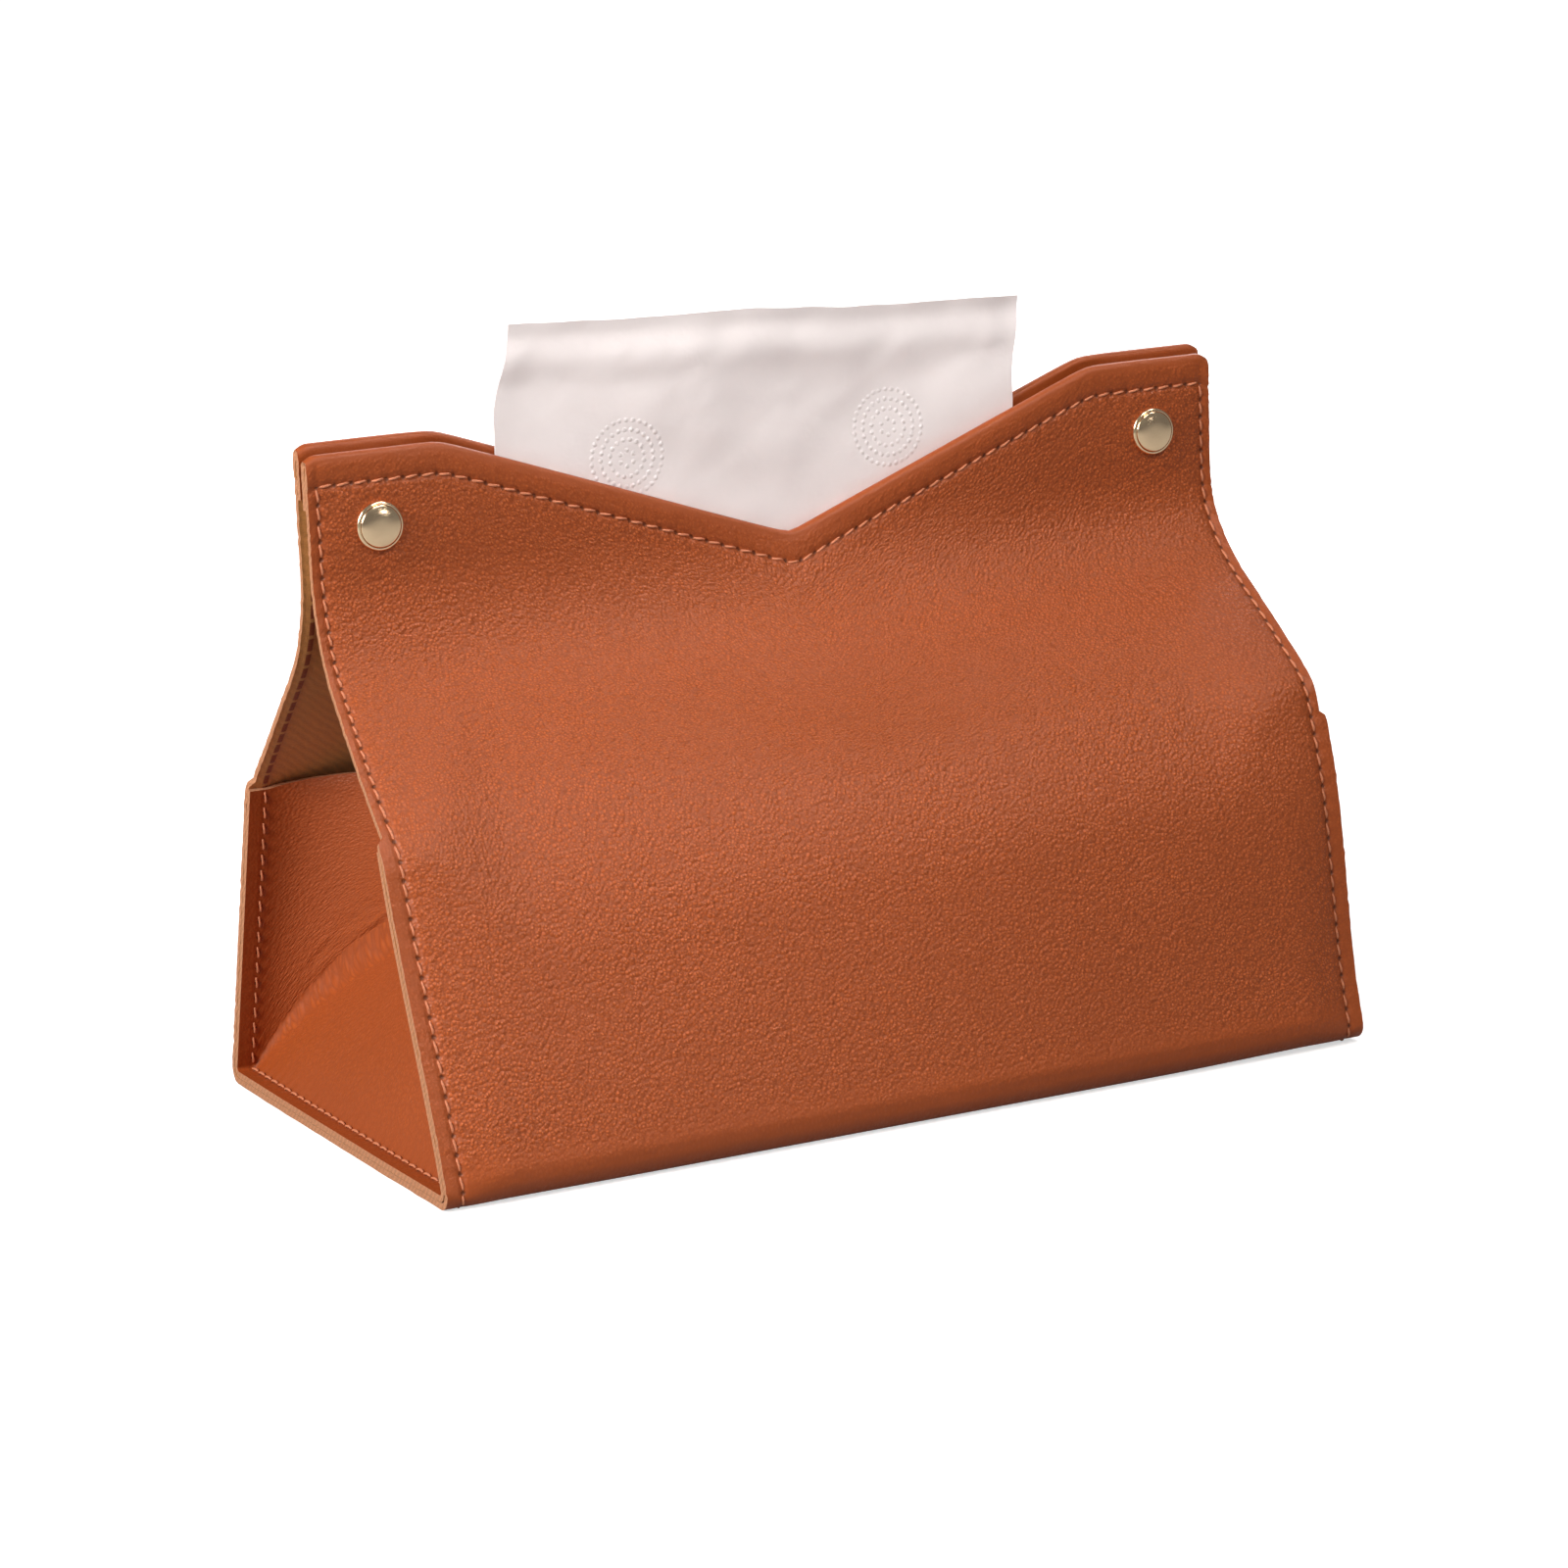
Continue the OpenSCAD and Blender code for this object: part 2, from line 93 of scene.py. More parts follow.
STUD_X = abs(CAP_LOW.x + CAP_HIGH.x) / 2
STUD_Z = (CAP_LOW.z + CAP_HIGH.z) / 2
ENDS = ((-1, "left"), (1, "right"))


def measure(name, what, default):
    """A length that a user may change. Its default is given in millimetres."""
    return FloatProperty(name=name, description=what, default=default * MM, unit="LENGTH")


def colour(name, what, value):
    """A colour that a user may change."""
    return FloatVectorProperty(name=name, description=what, default=value, subtype="COLOR",
                               size=3, min=0, max=1)


class CoverSizes(bpy.types.PropertyGroup):
    """Sizes of the cover that the solids don't give"""

    leather: measure("Leather", "Thickness of the leather", 1.5)
    hem_width: measure("Hem width", "Width of the turned hem at the mouth", 10.8)
    hem_stitch: measure("Hem stitch", "Hem's stitches below the folded edge", 6.8)
    seam_margin: measure("Seam margin", "End seam's stitches to the raw edges", 3.8)
    notch_depth: measure("Notch depth", "Depth of the notch in the mouth", 30)
    corner_run: measure("Corner run", "Level top edge at each corner", 32)
    bend_run: measure("Bend run", "Length that a flap's bend takes off its corner", 14.7)
    cap_gap: measure("Cap gap", "From a press stud's cap down to the bend", 3.4)
    end_radius: measure("End radius", "Radius of the bottom fold at its ends", 3.5)
    middle_radius: measure("Middle radius", "Radius of the bottom fold between", 5)
    belly: measure("Belly", "How far the panels swell inside their seams", 1)
    gusset_crease: measure("Gusset crease", "Height at which a gusset's creases meet", 42)
    stitch_pitch: measure("Stitch pitch", "From one stitch to the next", 4)
    stitch_length: measure("Stitch length", "Thread that shows at each stitch", 2.9)
    thread_d: measure("Thread", "Diameter of the sewing thread", 0.6)
    thread_swell: FloatProperty(name="Thread swell", default=1.08, min=1, max=2,
                                description="How much wider a loose stitch looks")
    tissue_sheet: measure("Tissue", "Thickness of the drawn tissue", 0.3)
    pack_sheets: IntProperty(name="Layers", description="Layers that show on the sides of the pack",
                             default=36, min=8, max=80)


class CoverColours(bpy.types.PropertyGroup):
    """Colours of the cover's finishes"""

    leather: colour("Leather", "Grain side of the leather", (0.43, 0.08, 0.012))
    suede: colour("Suede", "Flesh side of the leather", (0.6, 0.25, 0.07))
    raw_edge: colour("Raw edge", "Cut edges of the leather", (0.6, 0.27, 0.14))
    thread: colour("Thread", "Sewing thread", (0.62, 0.21, 0.1))
    plating: colour("Plating", "Polished pale gold of the caps", (1.0, 0.74, 0.47))
    brass: colour("Brass", "Satin brass of the inner parts", (0.72, 0.62, 0.42))
    tissue: colour("Tissue", "Tissue paper", (0.97, 0.885, 0.88))
    floor: colour("Floor", "Floor under the cover", (0.68, 0.68, 0.68))


def sizes():
    """The sizes in use."""
    return bpy.context.scene.cover_sizes


def colours():
    """The colours in use."""
    return bpy.context.scene.cover_colours


def smooth(low, high, value):
    """A smooth step from 0 at low to 1 at high."""
    t = min(max((value - low) / (high - low), 0.0), 1.0)
    return t * t * (3 - 2 * t)


def mix(a, b, share):
    """The value that lies at a share of the way from a to b."""
    return a + (b - a) * share


def bell(distance, width):
    """1 at no distance, falling smoothly to 0 over a few widths."""
    return math.exp(-(distance / width) ** 2)


def flutter(a, b, seed):
    """Smooth noise from -1 to 1, with about one wave for each step of a and of b."""
    return noise.noise(Vector((a, b, seed)))


# Shape of the leather strip. A point is its distance from the middle plane and its height.
SEAM_PLAY = 0.1 * MM
# Where along the cover the middle's shape goes over into the ends', and the apex of each:
# how far out the line of the wall meets the table
TO_ENDS = (99 * MM, 110 * MM)
END_APEX = HALF_DEPTH + 1.2 * MM
MIDDLE_APEX = HALF_DEPTH + 2.6 * MM
LEAST_RADIUS = 0.8 * MM
HEM_BAND = 12 * MM
# How far the crease between wall and flap spreads, and where along the cover it sharpens
SOFT_CREASE, SHARP_CREASE = 18 * MM, 2.5 * MM
TO_SHARP = (82 * MM, 106 * MM)
# How far the twisted front stands out at its left and its right, and the heights of none and all
# of that
WALL_TWIST = ((-4.5 * MM, 7.3 * MM), (5 * MM, 68 * MM))
FLAP_TWIST = ((-6.5 * MM, 12.8 * MM), (122 * MM, 78 * MM))
# The bottom corners' lift at the right, its share at the left, and the reach of it
CORNER_LIFT, LEFT_LIFT_SHARE = 0.7 * MM, 0.25
LIFT_FROM_X, LIFT_FROM_D, LIFT_UP_TO = 60 * MM, 20 * MM, 34 * MM
# The parts of the strip, with their rows
PARTS = (("floor", 14), ("base", 12), ("wall", 52), ("flap", 66), ("hem", 12), ("turn", 8),
         ("inner", 8))
ROWS = [(part, i / n) for part, n in PARTS for i in range(n)] + [("inner", 1.0)]
FOLD_ROW, TURN_ROW = ROWS.index(("flap", 0.0)), ROWS.index(("turn", 0.0))


def seam_x():
    """Place of the end seams' stitches."""
    return HALF_LENGTH - sizes().seam_margin


def mid_share(x):
    """0 at the ends of the cover and 1 between them."""
    return 1 - smooth(*TO_ENDS, abs(x))


def mouth_face():
    """Distance of an upright flap's outer face from the middle plane."""
    return HALF_GAP + 2 * sizes().leather


def bend_top():
    """Height at which a flap comes upright."""
    return CAP_LOW.z - sizes().cap_gap


def flap_lean():
    """Lean of a flap above its fold, from upright."""
    return math.atan2(FOLD_D - mouth_face(), bend_top() - sizes().bend_run - FOLD_Z)


def bend_radius():
    """Outside radius of the bend that brings a flap upright."""
    return sizes().bend_run / math.tan(flap_lean() / 2)


def wall_lean(x):
    """Lean of a wall from upright."""
    return math.atan2(mix(END_APEX, MIDDLE_APEX, mid_share(x)) - FOLD_D, FOLD_Z)


def base_circle(x, inset=0.0, slack=0.0):
    """Centre and radius of the bottom fold, at a depth below the outer face."""
    apex = mix(END_APEX, MIDDLE_APEX, mid_share(x))
    radius = mix(sizes().end_radius, sizes().middle_radius, mid_share(x))
    radius = max(radius - inset, LEAST_RADIUS) + slack
    centre = apex - (inset + radius) * math.tan(math.pi / 4 + wall_lean(x) / 2)
    return centre, inset + radius, radius


def flap_face(z, inset=0.0):
    """Distance of a flap's face from the middle plane, at a depth below its outer face."""
    if z >= bend_top():
        return mouth_face() - inset
    radius = bend_radius()
    centre = mouth_face() + radius
    if z > bend_top() - (radius + inset) * math.sin(flap_lean()):
        return centre - math.sqrt((radius + inset) ** 2 - (bend_top() - z) ** 2)
    return FOLD_D - (z - FOLD_Z) * math.tan(flap_lean()) - inset / math.cos(flap_lean())


def twist(way, x, z, ends, heights):
    """How far the soft, twisted front stands out of the solid's face. The back isn't twisted."""
    if way > 0:
        return 0.0
    return mix(*ends, (x / HALF_LENGTH + 1) / 2) * smooth(*heights, z)


def side_face(way, x, z):
    """Distance of the outer face from the middle plane, with the fold between wall and flap."""
    wall = FOLD_D + (FOLD_Z - z) * math.tan(wall_lean(x)) + twist(way, x, z, *WALL_TWIST)
    flap = flap_face(z) + twist(way, x, z, *FLAP_TWIST)
    soft = mix(SHARP_CREASE, SOFT_CREASE, 1 - smooth(*TO_SHARP, abs(x)))
    near = max(soft - abs(wall - flap), 0) / soft
    return min(wall, flap) - near * near * soft / 4


def corner_lift(x, d, z):
    """How far the stiff seams lift the bottom corners off the table, more so at the right."""
    out = smooth(LIFT_FROM_X, HALF_LENGTH, abs(x)) * smooth(LIFT_FROM_D, HALF_DEPTH, abs(d))
    return CORNER_LIFT * (1 if x > 0 else LEFT_LIFT_SHARE) * out * smooth(LIFT_UP_TO, 0, z)


# Shape of the mouth
CORNER_ROUND = 3 * MM
CORNER_DROP = 1.2 * MM
NOTCH_ROUND = 1.6 * MM
NOTCH_SHIFT = 2.5 * MM
BEND_ROUND = 0.8 * MM


def mouth_edge(x, top):
    """Height of the folded edge of the mouth."""
    run = HALF_FLAP - sizes().corner_run
    depth = sizes().notch_depth
    aside = x - NOTCH_SHIFT * max(1 - abs(x) / run, 0)
    dip = depth * (1 - math.sqrt(aside * aside + NOTCH_ROUND ** 2) / run)
    dip = (dip + math.sqrt(dip * dip + BEND_ROUND ** 2)) / 2
    corner = max(abs(x) - (HALF_FLAP - CORNER_ROUND), 0) / CORNER_ROUND
    return top - dip - CORNER_DROP * corner * corner


def outline(way, x, top, part, share):
    """A point of the outer face in the cross-section at x."""
    centre, rise, radius = base_circle(x)
    leather = sizes().leather
    if part == "floor":
        return centre * share, rise - radius
    lean = wall_lean(x)
    if part == "base":
        angle = mix(-math.pi / 2, lean, share)
        return centre + radius * math.cos(angle), rise + radius * math.sin(angle)
    if part == "wall":
        z = mix(rise + radius * math.sin(lean), FOLD_Z, share)
        return side_face(way, x, z), z
    edge = mouth_edge(x, top)
    low = edge - leather
    if part in ("flap", "hem"):
        ends = (FOLD_Z, edge - HEM_BAND) if part == "flap" else (edge - HEM_BAND, low)
        z = mix(*ends, share)
        return side_face(way, x, z), z
    if part == "turn":
        angle = math.pi * share
        face = side_face(way, x, low)
        return face - leather * (1 - math.cos(angle)), low + leather * math.sin(angle)
    z = mix(low, edge - sizes().hem_width, share)
    return flap_face(z, 2 * leather) + twist(way, x, z, *FLAP_TWIST), z


def outward(way, x, top, part, share):
    """Direction that the outer face looks in, in the cross-section at x."""
    step = 0.01
    a = outline(way, x, top, part, max(share - step, 0))
    b = outline(way, x, top, part, min(share + step, 1))
    run = Vector((b[0] - a[0], b[1] - a[1])).normalized()
    return run.y, -run.x


def lengths_along(path):
    """Length along a path to each of its points."""
    lengths = [0.0]
    for a, b in zip(path, path[1:]):
        lengths.append(lengths[-1] + math.dist(a[:2], b[:2]))
    return lengths


# Relief of the leather's face: heights and depths, and the runs over which they come and go.
# Its waves are noise, read at so many waves to the metre.
SWELL_RUN = 2.5 * MM
GROOVE, HEM_GROOVE, GROOVE_WIDTH = 0.3 * MM, 0.28 * MM, 0.8 * MM
HEM_PAD = 0.24 * MM
HEM_WAVE, WALL_WAVE, FLAP_WAVE = 0.12 * MM, 0.5 * MM, 0.55 * MM
BASE_SWELL, SETTLED_SWELL = 0.6, 0.35 * MM
ROUND_RUN, FOLD_RUN, SETTLE_RUN = 8 * MM, 20 * MM, 16 * MM
LOOSE_BELOW = (3 * MM, 22 * MM)
STUD_RING, STUD_RING_RADIUS, STUD_RING_WIDTH = 0.22 * MM, 8.5 * MM, 2.2 * MM


class Half:
    """One half of the strip: from the middle of the floor, up one side and over its hem."""

    def __init__(self, name, way, top, seed):
        self.name = name
        self.way = way
        self.top = top
        self.seed = seed
        self.lengths = lengths_along([outline(way, seam_x(), top, *row) for row in ROWS])
        self.at_fold = self.lengths[FOLD_ROW]
        self.at_corner = self.length_of_height(self.top - sizes().hem_stitch)

    def length_of_height(self, z):
        """Length along the strip to a height on the flap's side edge."""
        for i in range(FOLD_ROW, len(ROWS) - 1):
            low, high = (outline(self.way, seam_x(), self.top, *ROWS[k])[1] for k in (i, i + 1))
            if low <= z <= high:
                return mix(self.lengths[i], self.lengths[i + 1], (z - low) / (high - low))
        raise ValueError("that height is above the flap")

    def row_at(self, length):
        """The part and share of the strip at a length along it."""
        for i in range(len(ROWS) - 1):
            if length <= self.lengths[i + 1]:
                part, share = ROWS[i]
                next_part, next_share = ROWS[i + 1]
                end = next_share if next_part == part else 1.0
                span = self.lengths[i + 1] - self.lengths[i]
                return part, mix(share, end, (length - self.lengths[i]) / span)
        return ROWS[-1]

    def relief(self, x, z, part, share):
        """How far the leather stands out of its plain outline."""
        if part == "floor":
            return 0.0
        inside = seam_x() - abs(x)
        swell = 1 - math.exp(-max(inside, 0) / SWELL_RUN)
        groove = -GROOVE * bell(inside, GROOVE_WIDTH)
        wave = flutter(x * 14, z * 16, self.seed) + 0.5 * flutter(x * 34, z * 30, self.seed + 5)
        belly = sizes().belly
        if part == "base":
            return share * (belly * swell * BASE_SWELL + groove)
        if part in ("turn", "inner"):
            return HEM_WAVE * wave
        if part == "wall":
            round_up = smooth(0, ROUND_RUN, z)
            full = belly * mix(BASE_SWELL, 1, round_up * smooth(0, FOLD_RUN, FOLD_Z - z))
            return full * swell + groove + WALL_WAVE * wave * swell * round_up
        below = mouth_edge(x, self.top) - z
        stitched = sizes().hem_stitch
        hem_groove = -HEM_GROOVE * bell(below - stitched, GROOVE_WIDTH)
        hem_pad = max(1 - (below / stitched * 2 - 1) ** 2, 0) if below < stitched else 0
        hem_pad *= HEM_PAD * (1 + flutter(x * 120, z * 60, self.seed + 9))
        full = mix(belly * BASE_SWELL, SETTLED_SWELL, smooth(0, SETTLE_RUN, z - FOLD_Z))
        loose = smooth(*LOOSE_BELOW, below)
        from_ring = math.hypot(abs(x) - STUD_X, z - STUD_Z) - STUD_RING_RADIUS
        pressed = STUD_RING * bell(from_ring, STUD_RING_WIDTH)
        return (full * swell * loose + groove + hem_groove + hem_pad + pressed
                + FLAP_WAVE * wave * loose)

    def point(self, x, part, share, lift=0.0):
        """A point above the leather's outer face, and the direction that the face looks in."""
        d, z = outline(self.way, x, self.top, part, share)
        out_d, out_z = outward(self.way, x, self.top, part, share)
        rise = self.relief(x, z, part, share) + lift
        up = corner_lift(x, d, z)
        place = Vector((x, self.way * (d + out_d * rise), z + out_z * rise + up))
        return place, Vector((0, self.way * out_d, out_z))


def notch_run():
    """Half of the notch's width, and how much longer than its width its slope is."""
    run = HALF_FLAP - sizes().corner_run
    return run, math.hypot(1, sizes().notch_depth / run)


def hem_length(x):
    """Length of the hem's stitch line from the middle of the notch to x."""
    run, steep = notch_run()
    return math.copysign(min(abs(x), run) * steep + max(abs(x) - run, 0), x)


def hem_place(length):
    """The x of a place on the hem's stitch line, from its length from the middle of the notch."""
    run, steep = notch_run()
    far = abs(length)
    return math.copysign(min(far, run * steep) / steep + max(far - run * steep, 0), length)


# Helpers for meshes
def finish_mesh(name, bm, *finishes, shade_smooth=True):
    """Turns a bmesh into an object with its place in its mesh."""
    mesh = bpy.data.meshes.new(name)
    bm.to_mesh(mesh)
    bm.free()
    for finish in finishes:
        mesh.materials.append(material_of(finish))
    if shade_smooth:
        mesh.shade_smooth()
    obj = bpy.data.objects.new(name, mesh)
    bpy.context.scene.collection.objects.link(obj)
    return obj


def grid_of(columns, rows):
    """A flat grid, with each vertex's column and row."""
    bm = bmesh.new()
    bm.loops.layers.uv.new("flat")
    bm.loops.layers.uv.new("stitch")
    bm.verts.layers.float.new("grain")
    bmesh.ops.create_grid(bm, x_segments=columns - 1, y_segments=rows - 1, size=0.5)
    places = {}
    for v in bm.verts:
        places[v] = (round((v.co.x + 0.5) * (columns - 1)), round((v.co.y + 0.5) * (rows - 1)))
    return bm, places


def layers(bm):
    """The two maps and the grain of a leather sheet."""
    maps = bm.loops.layers.uv
    return maps["flat"], maps["stitch"], bm.verts.layers.float["grain"]


def face_towards(bm, face, direction):
    """Turns every face over if the given one doesn't look in the direction."""
    bm.normal_update()
    if face.normal.dot(Vector(direction)) < 0:
        bmesh.ops.reverse_faces(bm, faces=bm.faces)
        bm.normal_update()


CRISP_ANGLE = math.radians(50)
SHEET_PLAY = 0.05 * MM


def add_thickness(obj, thickness, inner=0, rim=0):
    """Gives a sheet its thickness, away from the side that its faces look to."""
    solidify = obj.modifiers.new("thickness", "SOLIDIFY")
    solidify.thickness = thickness
    solidify.offset = -1
    solidify.use_even_offset = False
    solidify.material_offset = inner
    solidify.material_offset_rim = rim
    crisp = obj.modifiers.new("crisp_edges", "EDGE_SPLIT")
    crisp.split_angle = CRISP_ANGLE
    crisp.use_edge_sharp = False
    return solidify


def leather_sheet(name, bm):
    """Turns a bmesh of the grain side into a sheet with its flesh side and cut edges."""
    obj = finish_mesh(name, bm, "tan_leather", "suede_back", "raw_edge")
    add_thickness(obj, sizes().leather - SHEET_PLAY, 1, 2)
    return obj


# Helpers for materials
class Nodes:
    """A node tree, with a short word for each kind of node that the finishes use."""

    def __init__(self, tree):
        self.tree = tree

    def feed(self, sockets, values):
        """Sets or links each of the sockets that are named."""
        for name, value in values.items():
            if isinstance(value, bpy.types.NodeSocket):
                self.tree.links.new(value, sockets[name])
            else:
                sockets[name].default_value = value

    def add(self, kind, values=None, **settings):
        """The outputs of a new node, with its settings made and its sockets fed."""
        node = self.tree.nodes.new("ShaderNode" + kind)
        for name, value in settings.items():
            setattr(node, name, value)
        self.feed(node.inputs, values or {})
        return node.outputs

    def group(self, name, values):
        """The outputs of a shared group, which is built the first time that it is asked for."""
        tree = bpy.data.node_groups.get(name) or new_group(name)
        return self.add("Group", values, node_tree=tree)

    def place(self):
        """Place on the object."""
        return self.add("TexCoord")["Object"]

    def uv(self, name):
        """Place on one of the piece's own maps."""
        return self.add("UVMap", uv_map=name)[0]

    def maths(self, operation, *values):
        """The result of a Math node."""
        return self.add("Math", dict(enumerate(values)), operation=operation)[0]

    def times(self, first, *others):
        """The product of all the values."""
        for other in others:
            first = self.maths("MULTIPLY", first, other)
        return first

    def minus(self, a, b):
        """The difference of two values."""
        return self.maths("SUBTRACT", a, b)

    def hypotenuse(self, a, b):
        """Distance to a place that lies at a and b."""
        squares = (self.maths("POWER", a, 2.0), self.maths("POWER", b, 2.0))
        return self.maths("SQRT", self.maths("ADD", *squares))

    def ramp(self, value, low, high, start=0.0, end=1.0):
        """A value moved from one range to another, and held inside it."""
        return self.add("MapRange", {0: value, 1: low, 2: high, 3: start, 4: end})[0]

    def blend(self, share, a, b):
        """A colour at a share of the way from a to b."""
        return self.add("Mix", {0: share, 6: a, 7: b}, data_type="RGBA")[2]

    def marked(self, tone, base, *marks):
        """A colour with marks over it: the mask, strength and share of the base colour of each."""
        for mask, strength, share in marks:
            tone = self.blend(self.times(mask, strength), tone, paint(base, share))
        return tone

    def clouds(self, vector, scale, detail, roughness=0.5):
        """Soft noise."""
        return self.add("TexNoise", {"Vector": vector, "Scale": scale, "Detail": detail,
                                     "Roughness": roughness})

    def bump(self, strength, distance, height, **below):
        """A normal that follows a height, over the Normal of another where one is given."""
        values = {"Strength": strength, "Distance": distance, "Height": height, **below}
        return self.add("Bump", values)[0]


def paint(value, share=1.0):
    """A colour as a shader value, made darker or lighter."""
    return (value[0] * share, value[1] * share, value[2] * share, 1)


def pebbles(nodes, given):
    """Rounded pebbles with valleys between them, of a given size."""
    vector, size = given["Vector"], given["Size"]
    scale = nodes.maths("DIVIDE", 1.0, size)
    bend = nodes.clouds(vector, nodes.times(scale, 0.7), 2.0)["Color"]
    shift = nodes.add("VectorMath", {0: bend, 1: (0.5, 0.5, 0.5)}, operation="SUBTRACT")[0]
    reach = nodes.times(size, 0.55)
    spread = nodes.add("VectorMath", {0: shift, "Scale": reach}, operation="SCALE")[0]
    moved = nodes.add("VectorMath", {0: vector, 1: spread}, operation="ADD")[0]
    cells = nodes.add("TexVoronoi", {"Vector": moved, "Scale": scale, "Smoothness": 0.35},
                      feature="SMOOTH_F1")["Distance"]
    edges = nodes.add("TexVoronoi", {"Vector": moved, "Scale": scale},
                      feature="DISTANCE_TO_EDGE")["Distance"]
    fine = nodes.clouds(vector, nodes.times(scale, 2.5), 2.0)["Fac"]
    height = nodes.maths("ADD", nodes.minus(nodes.times(fine, 0.15), cells), 0.8)
    return {"Height": height, "Valleys": nodes.ramp(edges, 0.24, 0.0)}


def patches(nodes, given):
    """Broad soft patches, for uneven colour and polish."""
    scale = nodes.maths("DIVIDE", 1.0, given["Size"])
    return {"Mask": nodes.ramp(nodes.clouds(given["Vector"], scale, 4.0, 0.55)["Fac"], 0.3, 0.7)}


# Marks along a stitch line: where each starts and where it is full, from its middle
HOLE = (0.62 * MM, 0.25 * MM)
PRESSED_LINE = (1.1 * MM, 0.2 * MM)
PUCKER = (5.5 * MM, 0.4 * MM)
DASH_WIDTH = (0.42 * MM, 0.28 * MM)
DASH_LENGTH = (0.42, 0.36)


def needle_marks(nodes, given):
    """Puckers and needle holes along a stitch line, from the distance along it and from it."""
    turns = nodes.maths("DIVIDE", given["Along"], given["Pitch"])
    share = nodes.minus(nodes.maths("FRACT", turns), 0.5)
    off = nodes.times(nodes.minus(0.5, nodes.maths("ABSOLUTE", share)), given["Pitch"])
    away = nodes.maths("ABSOLUTE", given["Across"])
    holes = nodes.ramp(nodes.hypotenuse(off, away), *HOLE)
    line = nodes.ramp(away, *PRESSED_LINE)
    ripple = nodes.times(nodes.maths("COSINE", nodes.times(turns, math.tau)), -0.3)
    pucker = nodes.times(ripple, nodes.maths("POWER", nodes.ramp(away, *PUCKER), 2.0))
    pressed = nodes.maths("ADD", nodes.times(line, 0.5), holes)
    dashes = nodes.times(nodes.ramp(nodes.maths("ABSOLUTE", share), *DASH_LENGTH),
                         nodes.ramp(away, *DASH_WIDTH))
    return {"Height": nodes.minus(pucker, pressed), "Holes": holes, "Line": line, "Dashes": dashes}


def fibres(nodes, given):
    """Short felted fibres with a faint twill under them."""
    vector = given["Vector"]
    scale = nodes.maths("DIVIDE", 1.0, given["Size"])
    lie = {"Vector": vector, "Rotation": (0, 0, 0.6), "Scale": (1, 2.6, 1)}
    hairs = nodes.clouds(nodes.add("Mapping", lie)[0], scale, 3.0, 0.7)["Fac"]
    weave = {"Vector": vector, "Scale": nodes.times(scale, 0.16), "Detail": 1.0, "Distortion": 3.0}
    twill = nodes.add("TexWave", weave, bands_direction="DIAGONAL")["Fac"]
    both = nodes.maths("ADD", nodes.times(hairs, 0.87), nodes.times(twill, 0.13))
    return {"Height": both, "Mask": nodes.ramp(both, 0.3, 0.7)}


GROUPS = {"pebbles": (pebbles, "Vector", "Size"), "patches": (patches, "Vector", "Size"),
          "fibres": (fibres, "Vector", "Size"),
          "needle_marks": (needle_marks, "Along", "Across", "Pitch")}


def new_group(name):
    """A shared shader node group, with sockets for what it is given and for what it puts out."""
    group = bpy.data.node_groups.new(name, "ShaderNodeTree")
    build, *inputs = GROUPS[name]
    for label in inputs:
        kind = "NodeSocketVector" if label == "Vector" else "NodeSocketFloat"
        group.interface.new_socket(label, in_out="INPUT", socket_type=kind)
    nodes = Nodes(group)
    made = build(nodes, group.nodes.new("NodeGroupInput").outputs)
    for label in made:
        group.interface.new_socket(label, in_out="OUTPUT", socket_type="NodeSocketFloat")
    nodes.feed(group.nodes.new("NodeGroupOutput").inputs, made)
    return group


def stitch_marks(nodes):
    """The marks beside the stitch lines, from the leather's map of them."""
    along, across, _ = nodes.add("SeparateXYZ", {0: nodes.uv("stitch")})
    return nodes.group("needle_marks", {"Along": along, "Across": across,
                                        "Pitch": sizes().stitch_pitch})


# Sizes of the patterns, and depths of their bumps
PEBBLE, LEATHER_PATCH, SUEDE_PATCH, TISSUE_PATCH = 0.8 * MM, 45 * MM, 18 * MM, 14 * MM
SUEDE_FIBRE, EDGE_FIBRE, THREAD_FIBRE = 0.7 * MM, 0.45 * MM, 0.3 * MM
PLATING_MARK, BRASS_MARK = 3 * MM, 1 * MM
PEBBLE_DEPTH, PUCKER_DEPTH, METAL_DEPTH = 0.3 * MM, 0.3 * MM, 0.004 * MM
SUEDE_DEPTH, EDGE_DEPTH, THREAD_DEPTH = 0.25 * MM, 0.2 * MM, 0.08 * MM
CREASE_DEPTH, CREPE_DEPTH, DOT_DEPTH = 0.6 * MM, 0.1 * MM, 0.18 * MM
# Painted glint on the pebbles' tops and the thread behind the suede, as shares of the leather's colour
PAINTED_GLINT_TINT = (1.55, 2.1, 3.2)
THREAD_BEHIND = 0.55
WARM_GLOSS = (1.0, 0.93, 0.85, 1)


